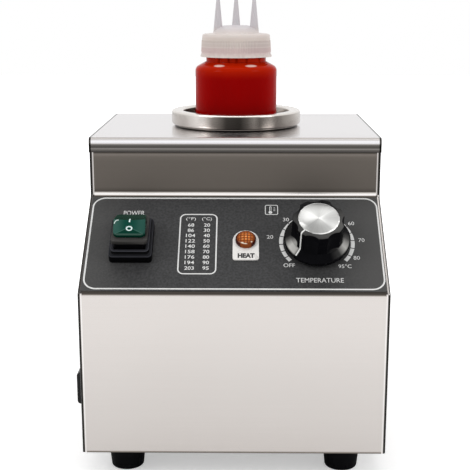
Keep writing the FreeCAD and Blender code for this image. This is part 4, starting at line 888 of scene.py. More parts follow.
@dataclass(frozen=True)
class KnobPlastic:
    """Glossy black plastic with a white pointer line over the grip and the skirt, and painted highlights on
    the skirt and the grip's top rim.
    """

    black: Colour = (0.004, 0.004, 0.005)
    # The colour of the painted highlights on the skirt and rim.
    light: Colour = (0.66, 0.65, 0.62)
    white: Colour = (0.84, 0.84, 0.82)
    pointer: float = math.radians(226.0)
    reach: tuple[float, float] = (14.6, 23.2)
    width: float = 1.15
    pointer_low: float = 4.6
    sheen_zone: Zone = (5.4, 6.2, 8.9, 9.8)
    # Painted highlights on the skirt: turn in degrees and level.
    sheen: Steps = (
        (-180.0, 0.02),
        (-172.0, 0.15),
        (-156.0, 0.95),
        (-140.0, 0.80),
        (-134.0, 0.0),
        (-66.0, 0.0),
        (-46.0, 0.06),
        (-28.0, 0.75),
        (-18.0, 0.50),
        (-6.0, 0.12),
        (10.0, 0.0),
        (180.0, 0.02),
    )
    # Painted reflection on the grip's top rim: turn in degrees and level.
    rim: Steps = (
        (-180.0, 0.07),
        (-160.0, 0.09),
        (-90.0, 0.10),
        (-20.0, 0.16),
        (10.0, 0.10),
        (40.0, 0.03),
        (60.0, 0.01),
        (150.0, 0.01),
        (180.0, 0.07),
    )

    def make(self, name: str) -> bpy.types.Material:
        """Build the material.

        Args:
            name: The material's name.

        Returns:
            The material.
        """
        paint = Paint(name)
        across, up, off = paint.millimetres(CASE.panel(*CASE.knob).translation, CASE.slope)
        along = across * math.cos(self.pointer) + up * math.sin(self.pointer)
        aside = abs(up * math.cos(self.pointer) - across * math.sin(self.pointer))
        line = (aside < self.width / 2) * (along > self.reach[0]) * (along < self.reach[1])
        line = line * (off > self.pointer_low)
        cloud = paint.noise(paint.place(), 240.0, 3.0)
        turn = up.angle(across) * math.degrees(1.0)
        # Painted highlights on the skirt.
        sheen = paint.bands(turn, self.sheen) * off.within(*self.sheen_zone)
        # A painted reflection on the grip's top rim.
        rim = off.ease(25.8, 26.6) * paint.bands(turn, self.rim)
        body = paint.blend(sheen.largest(rim), paint.tone(cloud, self.black, 0.2), self.light)
        return paint.surface(
            Base_Color=paint.blend(line, body, self.white),
            Roughness=cloud * 0.06 + 0.17,
            Specular_IOR_Level=0.015,
        )


@dataclass(frozen=True)
class SpunDisc:
    """An aluminium disc faced on a lathe, with painted reflections: bright and dull fans from its middle and
    a bright rim.
    """

    radius: float = 14.75
    rim_width: float = 0.75
    hub: float = 1.6
    groove: float = 0.28
    dark: Colour = (1.0, 1.0, 0.97)
    pale: Colour = (1.0, 1.0, 0.985)
    # Painted reflection on the rim: turn in degrees and level.
    edge: Steps = (
        (-180.0, 0.6),
        (-150.0, 0.3),
        (-115.0, 0.35),
        (-85.0, 0.84),
        (180.0, 0.7),
    )
    # Painted reflections as fans: turn in degrees and level.
    steps: Steps = (
        (-180.0, 0.52),
        (-160.0, 0.46),
        (-136.0, 0.30),
        (-92.0, 0.38),
        (-52.0, 0.47),
        (-38.0, 0.66),
        (0.0, 0.60),
        (35.0, 0.66),
        (50.0, 0.48),
        (86.0, 0.37),
        (122.0, 0.40),
        (142.0, 0.50),
        (180.0, 0.52),
    )

    def make(self, name: str) -> bpy.types.Material:
        """Build the material.

        Args:
            name: The material's name.

        Returns:
            The material.
        """
        paint = Paint(name)
        across, up, _ = paint.millimetres(CASE.panel(*CASE.knob).translation, CASE.slope)
        radius = (across * across + up * up) ** 0.5
        turn = up.angle(across)
        degrees = turn * math.degrees(1.0)
        # Painted reflections: bright and dull fans round the middle.
        fans = paint.bands(degrees, self.steps)
        rays = paint.noise(paint.node("ShaderNodeCombineXYZ", {}, {0: turn * 9.0}), 1.0, 3.0)
        rings = (radius * (math.tau / self.groove)).sine() * 0.5 + 0.5
        rim = radius > self.radius - self.rim_width
        # A painted reflection on the rim.
        edge = paint.bands(degrees, self.edge)
        hub = 1.0 - radius.ease(0.0, self.hub)
        level = fans * (rays * 0.3 + 0.83) * (1.0 - rim) + rim * edge + hub * 0.1
        return paint.surface(
            Base_Color=paint.lit(level, self.dark, self.pale),
            Metallic=1.0,
            Roughness=rings * 0.08 + 0.3,
            Normal=paint.bump(rings, 0.000006),
        )


@dataclass(frozen=True)
class Sauce:
    """Deep red sauce, lighter and more orange towards the shoulder."""

    deep: Colour = (0.45, 0.0, 0.0)
    shoulder_red: Colour = (0.48, 0.010, 0.001)

    def make(self, name: str) -> bpy.types.Material:
        """Build the material.

        Args:
            name: The material's name.

        Returns:
            The material.
        """
        paint = Paint(name)
        _, _, height = paint.millimetres()
        cloud = paint.noise(paint.place(), 60.0, 3.0)
        shoulder = height.ease(268.0, 296.0)
        colour = paint.blend(shoulder * 0.7, paint.tone(cloud, self.deep, 0.06), self.shoulder_red)
        return paint.surface(Base_Color=colour, Roughness=cloud * 0.1 + 0.25, Specular_IOR_Level=0.0)


@dataclass(frozen=True)
class ClearPlastic:
    """Clear soft plastic that the sauce wets all over, so it shows the sauce's red under a gloss coat."""

    wall: Colour = (0.27, 0.0, 0.0)
    # The lighter red painted towards the sides, as painted light.
    side: Colour = (0.36, 0.001, 0.0)
    shoulder: Colour = (0.48, 0.015, 0.001)
    neck: Colour = (0.22, 0.004, 0.001)
    glint: Colour = (0.86, 0.62, 0.56)
    # Painted highlights on the shoulder: turn in degrees and half width.
    lights: Steps = ((-27.0, 11.0), (25.0, 11.5))
    light_height: float = 289.7
    neck_zone: Zone = (291.6, 292.0, 292.2, 292.9)

    def make(self, name: str) -> bpy.types.Material:
        """Build the material.

        Args:
            name: The material's name.

        Returns:
            The material.
        """
        paint = Paint(name)
        x, y, height = paint.millimetres(CASE.well().translation)
        turn = x.angle(y * -1.0) * math.degrees(1.0)
        cloud = paint.noise(paint.place(), 45.0, 3.0)
        high = height.ease(278.0, 290.0)
        # Painted light: a lighter red towards the sides.
        body = paint.blend(abs(turn).ease(25.0, 80.0), paint.tone(cloud, self.wall, 0.05), self.side)
        colour = paint.blend(high, body, paint.tone(cloud, self.shoulder, 0.04))
        neck = height.within(*self.neck_zone)
        colour = paint.blend(neck * 0.55, colour, self.neck)
        # Two painted highlights on the shoulder.
        for centre, half in self.lights:
            away = (abs(turn - centre) / half) ** 2.0 + (height - self.light_height) ** 2.0
            colour = paint.blend((1.0 - away.ease(0.25, 1.0)) * 0.85, colour, self.glint)
        return paint.surface(
            Base_Color=colour,
            Roughness=cloud * 0.05 + 0.08,
            Specular_IOR_Level=0.01,
            Coat_Weight=0.3,
            Coat_IOR=1.12,
            Normal=paint.bump(cloud, 0.0001, 0.4),
        )


@dataclass(frozen=True)
class MilkyPlastic:
    """Translucent natural plastic of the cap and its nozzles, warmed by the sauce below."""

    side: Colour = (0.68, 0.595, 0.545)
    warm: Colour = (0.68, 0.53, 0.51)
    nozzle: Colour = (0.60, 0.57, 0.60)
    # The colour of the painted shade in the grooves between the ribs.
    groove: Colour = (0.44, 0.33, 0.34)
    # Lighter rings: partly the screw ridges seen through the plastic, partly painted highlights.
    thread_and_highlight: Colour = (0.78, 0.70, 0.67)
    warm_zone: Zone = (296.0, 300.0, 301.0, 306.0)
    groove_zone: Zone = (299.2, 299.8, 308.8, 309.4)
    nozzle_zone: tuple[float, float] = (311.0, 322.0)
    thread_and_highlight_rings: Steps = (
        (296.2, 0.6),
        (297.2, 0.2),
        (303.4, 0.0),
        (303.9, 1.0),
        (304.5, 0.0),
        (306.2, 0.0),
        (307.0, 0.6),
        (307.8, 0.0),
        (310.6, 0.0),
        (312.4, 0.9),
        (313.4, 0.2),
    )

    def make(self, name: str) -> bpy.types.Material:
        """Build the material.

        Args:
            name: The material's name.

        Returns:
            The material.
        """
        paint = Paint(name)
        _, _, height = paint.millimetres()
        cloud = paint.noise(paint.place(), 90.0, 3.0)
        side = paint.tone(cloud, self.side, 0.05)
        low = paint.blend(height.within(*self.warm_zone), side, self.warm)
        pale = paint.tone(cloud, self.nozzle, 0.04)
        x, y, _ = paint.millimetres(CASE.well().translation)
        turn = x.angle(y * -1.0)
        # Lighter rings, partly the screw ridges seen through the plastic, partly painted highlights such as
        # along the top rim.
        thread_and_highlight = paint.bands(height, self.thread_and_highlight_rings)
        colour = paint.blend(height.ease(*self.nozzle_zone), low, pale)
        # Painted shade in the grooves between the ribs, stronger towards the right.
        grooves = (turn * float(CAP_RIBS) + math.pi * 1.5).sine() * 0.5 + 0.5
        grooves = grooves * height.within(*self.groove_zone) * (turn.ease(0.0, 0.5) * 0.7 + 0.3)
        colour = paint.blend(grooves * 0.5, colour, self.groove)
        return paint.surface(
            Base_Color=paint.blend(thread_and_highlight * 0.6, colour, self.thread_and_highlight),
            Roughness=cloud * 0.1 + 0.32,
            Specular_IOR_Level=0.25,
            Subsurface_Weight=0.12,
            Subsurface_Radius=(0.004, 0.003, 0.003),
            Subsurface_Scale=1.0,
            Normal=paint.bump(cloud, 0.00005, 0.5),
        )


@dataclass(frozen=True)
class LampLens:
    """Orange lens: rows of beads between grooves with painted highlights and shade, two painted white glints,
    painted brown shade at its sides.
    """

    colour: Colour = (0.86, 0.22, 0.03)
    bead: Colour = (1.0, 0.60, 0.24)
    groove: Colour = (0.22, 0.035, 0.008)
    # The colour of the painted shade at the sides, foot and front.
    brown: Colour = (0.050, 0.006, 0.003)
    glint: Colour = (1.0, 0.92, 0.74)
    glow: Colour = (0.5, 0.12, 0.01)
    row: float = 2.5
    column: float = 3.2
    bead_edge: Pair = (5.6, 6.4)
    bead_height: Pair = (5.2, 5.8)
    # Where the painted shade falls at the sides, the foot and the front.
    side_shade_zone: Pair = (5.7, 6.6)
    side_shade_reach: Pair = (1.5, 4.5)
    foot_shade_zone: Pair = (5.0, 5.9)
    front_shade_zone: Pair = (-6.2, -4.4)
    glints: tuple[tuple[float, float, float], ...] = ((-3.6, -5.3, 2.6), (-0.8, -6.2, 2.6), (4.9, -4.2, 1.6))

    def make(self, name: str) -> bpy.types.Material:
        """Build the material.

        Args:
            name: The material's name.

        Returns:
            The material.
        """
        paint = Paint(name)
        across, up, off = paint.millimetres(CASE.panel(*CASE.lamp).translation, CASE.slope)
        radius = (across * across + up * up) ** 0.5
        cloud = paint.noise(paint.place(), 320.0, 2.0)
        rows = (up * (math.tau / self.row)).sine()
        columns = (across * (math.tau / self.column)).sine()
        field = (1.0 - radius.ease(*self.bead_edge)) * off.ease(*self.bead_height)
        # Painted highlights on the beads and painted shade in the grooves of the lens's pattern.
        beads = (rows * 0.7 + columns * 0.3).ease(-0.1, 0.7) * field
        grooves = (rows * -0.75 + columns * 0.35).ease(0.1, 0.8) * field
        # Painted shade at the sides, the foot and the front.
        sides = radius.ease(*self.side_shade_zone) * abs(across).ease(*self.side_shade_reach)
        foot = (1.0 - off.ease(*self.foot_shade_zone)) * 0.82
        front = (1.0 - up.ease(*self.front_shade_zone)) * 0.7
        dark = sides.largest(foot).largest(front)
        colour = paint.blend(grooves * 0.9, paint.tone(cloud, self.colour, 0.2), self.groove)
        colour = paint.blend(beads * 0.85, colour, self.bead)
        colour = paint.blend(dark, colour, self.brown)
        # Painted white glints.
        for side, high, half in self.glints:
            away = ((across - side) / half) ** 2.0 + ((up - high) / 0.9) ** 2.0
            colour = paint.blend((1.0 - away.ease(0.3, 1.0)) * off.ease(4.4, 5.0), colour, self.glint)
        return paint.surface(
            Base_Color=colour,
            Roughness=cloud * 0.05 + 0.1,
            Specular_IOR_Level=0.1,
            Emission_Color=paint.blend(dark, self.glow, (0.0, 0.0, 0.0)),
            Emission_Strength=0.3,
        )


@dataclass(frozen=True)
class GreenPlastic:
    """Translucent green plastic, with creases from the rocker's round mark to its lower corners, and painted
    light and shade.
    """

    face: Colour = (0.005, 0.060, 0.042)
    # Tints of painted light and shade: lighter patches, shade, highlights on the creases and the hem, and a
    # gloss arc.
    pale: Colour = (0.045, 0.118, 0.098)
    deep: Colour = (0.0005, 0.030, 0.018)
    crease: Colour = (0.09, 0.21, 0.17)
    hem: Colour = (0.065, 0.125, 0.10)
    gloss: Colour = (0.80, 0.90, 0.86)
    crease_start: float = 5.0
    crease_slope: float = 0.52
    hem_zone: Pair = (9.7, 10.2)
    hem_height: float = 4.3
    # The place and radius of the painted gloss arc.
    gloss_place: Pair = (-7.7, -3.3)
    gloss_radius: float = 2.9

    def make(self, name: str) -> bpy.types.Material:
        """Build the material.

        Args:
            name: The material's name.

        Returns:
            The material.
        """
        paint = Paint(name)
        across, along, high = paint.millimetres(CASE.rocker_pivot, CASE.rocker_slope)
        cloud = paint.noise(paint.place(), 130.0, 3.0)
        down = along * -1.0 - self.crease_start
        crease = down - abs(across) * self.crease_slope
        # Painted shade: darker below the creases.
        below = crease.ease(-0.15, 0.15)
        # Painted light: lighter to the left and right of the upper face.
        left = (across * -1.0).ease(2.0, 10.0) * (1.0 - below)
        right = across.ease(1.0, 9.0) * (1.0 - below) * 0.6
        # A painted highlight along the creases.
        line = 1.0 - abs(crease).ease(0.0, 0.5)
        top = paint.blend((left + right) * (cloud * 0.7 + 0.45), self.face, self.pale)
        front = paint.blend(below * 0.72, top, self.deep)
        front = paint.blend(line * 0.45, front, self.crease)
        # A painted highlight along the front hem.
        hem = (along * -1.0).ease(*self.hem_zone) * (high > self.hem_height)
        front = paint.blend(hem * 0.6, front, self.hem)
        # A painted gloss arc at the upper left corner.
        side, front_end = self.gloss_place
        gloss_arc = ((across - side) ** 2.0 + (along - front_end) ** 2.0) ** 0.5 - self.gloss_radius
        gloss = (1.0 - abs(gloss_arc).ease(0.1, 0.45)) * (across < side) * (along > front_end)
        front = paint.blend(gloss * 0.85, front, self.gloss)
        # Painted shade on the rear face and on the lowest parts.
        rear = along.ease(-0.1, 0.2).largest(1.0 - high.ease(3.8, 4.6))
        return paint.surface(
            Base_Color=paint.blend(rear, front, self.deep),
            Roughness=cloud * 0.06 + 0.14,
            Specular_IOR_Level=0.03,
        )


@dataclass(frozen=True)
class Felt:
    """Mineral felt of the jacket."""

    colour: Colour = (0.74, 0.72, 0.64)

    def make(self, name: str) -> bpy.types.Material:
        """Build the material.

        Args:
            name: The material's name.

        Returns:
            The material.
        """
        paint = Paint(name)
        fibres = paint.noise(paint.place(scale=(400.0, 400.0, 900.0)), 1.0, 4.0)
        return paint.surface(
            Base_Color=paint.tone(fibres, self.colour, 0.25),
            Roughness=0.95,
            Normal=paint.bump(fibres, 0.0006),
        )


class Workshop:
    """Modelling steps that the pieces share, done with Blender's own operators."""

    @staticmethod
    def clear() -> None:
        """Deselect everything, in object mode."""
        if bpy.context.mode != "OBJECT":
            bpy.ops.object.mode_set(mode="OBJECT")
        bpy.ops.object.select_all(action="DESELECT")

    @classmethod
    def take(cls, made: bpy.types.Object) -> None:
        """Select one piece alone and make it the active one.

        Args:
            made: The piece.
        """
        cls.clear()
        made.select_set(True)
        bpy.context.view_layer.objects.active = made

    @staticmethod
    def named(name: str) -> bpy.types.Object:
        """Name the active object and its mesh.

        Args:
            name: The piece's name.

        Returns:
            The piece.
        """
        made = bpy.context.object
        made.name = name
        made.data.name = name
        return made

    @staticmethod
    def pick(made: bpy.types.Object, wanted: Callable[[bpy.types.MeshVertex], bool]) -> None:
        """Select the vertices that pass a test, and the edges and faces between them, in object mode.

        Args:
            made: The piece.
            wanted: The test.
        """
        mesh = made.data
        for vertex in mesh.vertices:
            vertex.select = wanted(vertex)
        for part in (*mesh.edges, *mesh.polygons):
            part.select = all(mesh.vertices[corner].select for corner in part.vertices)

    @classmethod
    def settle(cls, made: bpy.types.Object, place: Matrix, angle: float = 30.0) -> bpy.types.Object:
        """Move a piece's mesh to its place, with its object at the origin, and smooth its curves.

        Args:
            made: The piece.
            place: Where its mesh goes.
            angle: The sharpest edge in degrees that is still smoothed.

        Returns:
            The piece.
        """
        made.data.transform(place @ made.matrix_basis)
        made.matrix_basis = Matrix.Identity(4)
        cls.take(made)
        bpy.ops.object.shade_smooth_by_angle(angle=math.radians(angle))
        made.select_set(False)
        return made

    @classmethod
    def turned(cls, name: str, profile: Sequence[tuple[float, float]], sides: int = 96) -> bpy.types.Object:
        """Draw a ring out step by step along a closed profile, as on a lathe.

        Args:
            name: The piece's name.
            profile: Radius and height of each step, in metres; the last step is joined to the first.
            sides: How many sides the round has.

        Returns:
            The closed round piece.
        """
        cls.clear()
        radius, height = profile[0]
        bpy.ops.mesh.primitive_circle_add(vertices=sides, radius=radius, fill_type="NOTHING")
        made = cls.named(name)
        bpy.ops.object.mode_set(mode="EDIT")
        bpy.ops.mesh.select_all(action="SELECT")
        bpy.ops.transform.translate(value=(0, 0, height))
        for next_radius, next_height in profile[1:]:
            rise = {"value": (0, 0, next_height - height)}
            bpy.ops.mesh.extrude_region_move(TRANSFORM_OT_translate=rise)
            share = next_radius / radius
            bpy.ops.transform.resize(value=(share, share, 1), center_override=(0, 0, next_height))
            radius, height = next_radius, next_height
        bpy.ops.object.mode_set(mode="OBJECT")
        last = len(made.data.vertices) - sides
        cls.pick(made, lambda vertex: vertex.index < sides or vertex.index >= last)
        bpy.ops.object.mode_set(mode="EDIT")
        bpy.ops.mesh.select_mode(type="EDGE")
        bpy.ops.mesh.bridge_edge_loops()
        bpy.ops.mesh.select_all(action="SELECT")
        bpy.ops.mesh.normals_make_consistent(inside=False)
        bpy.ops.object.mode_set(mode="OBJECT")
        return made

    @classmethod
    def frame_line(
        cls, name: str, width: float, height: float, corner: float, line: float
    ) -> bpy.types.Object:
        """A flat rounded frame of even line width round the origin.

        Args:
            name: The piece's name.
            width: Its outer width.
            height: Its outer height.
            corner: Its outer corner radius.
            line: The width of its line.

        Returns:
            The flat frame.
        """
        cls.clear()
        bpy.ops.mesh.primitive_plane_add(size=1)
        made = cls.named(name)
        bpy.ops.object.mode_set(mode="EDIT")
        bpy.ops.mesh.select_all(action="SELECT")
        bpy.ops.transform.resize(value=(width, height, 1), center_override=(0, 0, 0))
        bpy.ops.mesh.bevel(offset=corner, segments=8, affect="VERTICES")
        bpy.ops.mesh.select_all(action="SELECT")
        bpy.ops.mesh.inset(thickness=line, depth=0)
        bpy.ops.mesh.delete(type="FACE")
        bpy.ops.object.mode_set(mode="OBJECT")
        return made

    @classmethod
    def arc_band(cls, name: str, inner: float, outer: float, start: float, sweep: float) -> bpy.types.Object:
        """A flat piece of a ring round the origin.

        Args:
            name: The piece's name.
            inner: The inner radius.
            outer: The outer radius.
            start: Where it starts, in degrees from the right.
            sweep: How far it goes round, in degrees.

        Returns:
            The flat band.
        """
        cls.clear()
        bpy.ops.mesh.primitive_plane_add(size=1)
        made = cls.named(name)
        cls.pick(made, lambda vertex: vertex.co.y > 0)
        bpy.ops.object.mode_set(mode="EDIT")
        bpy.ops.mesh.select_mode(type="VERT")
        bpy.ops.mesh.delete(type="VERT")
        bpy.ops.mesh.select_all(action="SELECT")
        bpy.ops.transform.resize(value=(outer - inner, 0, 1), center_override=(0, 0, 0))
        bpy.ops.transform.translate(value=((inner + outer) / 2, 0, 0))
        steps = max(4, round(abs(sweep) / 3))
        bpy.ops.mesh.spin(steps=steps, angle=math.radians(-sweep), center=(0, 0, 0), axis=(0, 0, 1))
        bpy.ops.mesh.select_all(action="SELECT")
        bpy.ops.mesh.normals_make_consistent(inside=False)
        bpy.ops.object.mode_set(mode="OBJECT")
        made.data.transform(Matrix.Rotation(math.radians(start), 4, "Z"))
        if made.data.polygons[0].normal.z < 0:
            made.data.flip_normals()
        return made

    @classmethod
    def word(
        cls, name: str, text: str, height: float, width: float | None = None, weight: float = 0.0
    ) -> bpy.types.Object:
        """A word as a flat mesh round the origin.

        Args:
            name: The piece's name.
            text: What it says.
            height: The height of its capitals.
            width: Its whole width, where that is known.
            weight: How far its strokes are swelled, as a share of the letter size.

        Returns:
            The flat word.
        """
        cls.clear()
        bpy.ops.object.text_add()
        made = bpy.context.object
        made.data.body = text
        made.data.align_x = "CENTER"
        made.data.align_y = "CENTER"
        made.data.resolution_u = 4
        made.data.offset = weight
        made.select_set(True)
        bpy.ops.object.convert(target="MESH")
        made = cls.named(name)
        across = [vertex.co.x for vertex in made.data.vertices]
        along = [vertex.co.y for vertex in made.data.vertices]
        centre = Vector(((min(across) + max(across)) / 2, (min(along) + max(along)) / 2, 0))
        tall = height / (max(along) - min(along))
        wide = width / (max(across) - min(across)) if width else tall
        made.data.transform(Matrix.Diagonal((wide, tall, 1, 1)) @ Matrix.Translation(-centre))
        return made

    @classmethod
    def joined(cls, name: str, pieces: Sequence[bpy.types.Object]) -> bpy.types.Object:
        """Join several meshes into one piece.

        Args:
            name: The piece's name.
            pieces: The meshes.

        Returns:
            The piece.
        """
        cls.clear()
        for piece in pieces:
            piece.select_set(True)
        bpy.context.view_layer.objects.active = pieces[0]
        bpy.ops.object.join()
        return cls.named(name)

    @classmethod
    def smooth_copy(cls, node: str, angle: float = 30.0) -> bpy.types.Object:
        """A welded, smoothed copy of a solid, which it stands for.

        Args:
            node: The solid's name.
            angle: The sharpest edge in degrees that is still smoothed.

        Returns:
            The copy.
        """
        made = bpy.data.objects.new(f"{node}_smooth", NODES[node].data.copy())
        bpy.context.scene.collection.objects.link(made)
        cls.take(made)
        bpy.ops.object.mode_set(mode="EDIT")
        bpy.ops.mesh.select_all(action="SELECT")
        bpy.ops.mesh.remove_doubles(threshold=0.000005)
        bpy.ops.object.mode_set(mode="OBJECT")
        bpy.ops.object.shade_smooth_by_angle(angle=math.radians(angle))
        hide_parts(node)
        return made

    @classmethod
    def merge_flats(cls, made: bpy.types.Object) -> None:
        """Merge the flat triangles of a copied solid into whole faces.

        Args:
            made: The copy.
        """
        cls.take(made)
        bpy.ops.object.mode_set(mode="EDIT")
        bpy.ops.mesh.select_all(action="SELECT")
        bpy.ops.mesh.dissolve_limited(angle_limit=math.radians(0.4))
        bpy.ops.object.mode_set(mode="OBJECT")

    @classmethod
    def apply(cls, made: bpy.types.Object, kind: str, **settings: object) -> None:
        """Add a modifier with its settings and apply it.

        Args:
            made: The piece.
            kind: Blender's name of the modifier.
            settings: What is set on it.
        """
        cls.take(made)
        modifier = made.modifiers.new(kind.lower(), kind)
        for name, setting in settings.items():
            setattr(modifier, name, setting)
        bpy.ops.object.modifier_apply(modifier=modifier.name)


def dress(made: bpy.types.Object, material: bpy.types.Material) -> None:
    """Give a piece one material."""
    made.data.materials.clear()
    made.data.materials.append(material)


def fit(made: bpy.types.Object, body: Body, material: bpy.types.Material) -> None:
    """Dress a new piece and let it ride on its body.

    Args:
        made: The piece.
        body: The body that carries it.
        material: Its material.
    """
    dress(made, material)
    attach(made, body.value)
    log.info("piece %s: %d vertices, on %s", made.name, len(made.data.vertices), body.value)


@dataclass
class Finishes:
    """Every finish of the warmer, made once."""

    made: dict[str, bpy.types.Material] = field(default_factory=dict)

    def get(self, name: str, recipe: Finish) -> bpy.types.Material:
        """The material of a recipe, made on its first use.

        Args:
            name: The finish's name.
            recipe: The finish.

        Returns:
            The material.
        """
        if name not in self.made:
            self.made[name] = recipe.make(name)
        return self.made[name]

    def of(self, node: str, body: Body, name: str, recipe: Finish, smooth: bool = False) -> None:
        """Dress a solid, or a smoothed copy that stands for it.

        Args:
            node: The solid's name.
            body: The body that carries it.
            name: The finish's name.
            recipe: The finish.
            smooth: Whether a smoothed copy takes its place.
        """
        material = self.get(name, recipe)
        if not smooth:
            dress(NODES[node], material)
            log.info("solid %s: %s, on %s", node, name, body.value)
            return
        fit(Workshop.smooth_copy(node), body, material)


FINISHES = Finishes()


class Housing:
    """The case: its sheets, feet, screws, inlet and the works inside."""

    def dress(self) -> None:
        """Dress every solid of the case."""
        case = Body.CASE
        FINISHES.of("front_shell", case, "front_steel", FormedSteel(FRONT_PAINTED_BANDS, dull_above=196.8), True)
        for node in ("left_side_panel", "right_side_panel"):
            FINISHES.of(node, case, "side_steel", HemSteel(), True)
        cover = FormedSteel(COVER_PAINTED_BANDS, (1.0, 0.92, 0.85), (1.0, 0.99, 1.03), 0.22, ends=108.2)
        FINISHES.of("top_cover", case, "deck_steel", cover, True)
        for node in ("rear_panel", "base_plate"):
            FINISHES.of(node, case, "back_steel", BrushedSteel((0.55, 0.54, 0.53), Grain.ALONG_X, 0.3))
        for node in ("foot_front_left", "foot_front_right", "foot_rear_left", "foot_rear_right"):
            FINISHES.of(node, case, "foot_rubber", Plastic((0.003, 0.003, 0.004), 0.5, 0.05, 1500.0), True)
        for node in ("rear_screws", "foot_screws", "foot_nuts", "heater_screws", "block_screws"):
            FINISHES.of(node, case, "screw_plating", PlatedSteel())
        FINISHES.of("power_inlet", case, "inlet_plastic", Plastic((0.010, 0.010, 0.011), 0.42, 0.2, 1800.0))
        brass = PlatedSteel((0.70, 0.62, 0.42))
        for node in ("inlet_pins", "switch_terminals", "lamp_pins", "thermostat_terminals", "earth_stud"):
            FINISHES.of(node, case, "tinned_brass", brass)
        moulded = Plastic((0.02, 0.02, 0.021), 0.45, 0.3, 1200.0)
        for node in ("switch_case", "lamp_barrel", "thermostat_body", "thermal_cutout"):
            FINISHES.of(node, case, "moulded_black", moulded)
        for node in ("switch_pivot", "lamp_nut", "thermostat_nut", "cutout_nuts"):
            FINISHES.of(node, case, "bright_nut", PlatedSteel((0.76, 0.75, 0.73), 0.2))
        FINISHES.of("terminal_block", case, "block_plastic", Plastic((0.62, 0.60, 0.52), 0.5))
        for node in ("heater_band", "bulb_strap"):
            FINISHES.of(node, case, "heater_steel", BrushedSteel((0.42, 0.38, 0.33), Grain.ALONG_Z, 0.4))
        FINISHES.of("insulation_jacket", case, "jacket_felt", Felt())
        for node in ("thermostat_bulb", "capillary_tube"):
            FINISHES.of(node, case, "copper", PlatedSteel((0.72, 0.38, 0.24), 0.28))
        pot = TurnedSteel(top=0.5, crown=240.6, shade=0.75, roughness=0.3)
        FINISHES.of("well_pot", case, "well_steel", pot, True)
        FINISHES.of("well_ring", case, "ring_steel", TurnedSteel(), True)


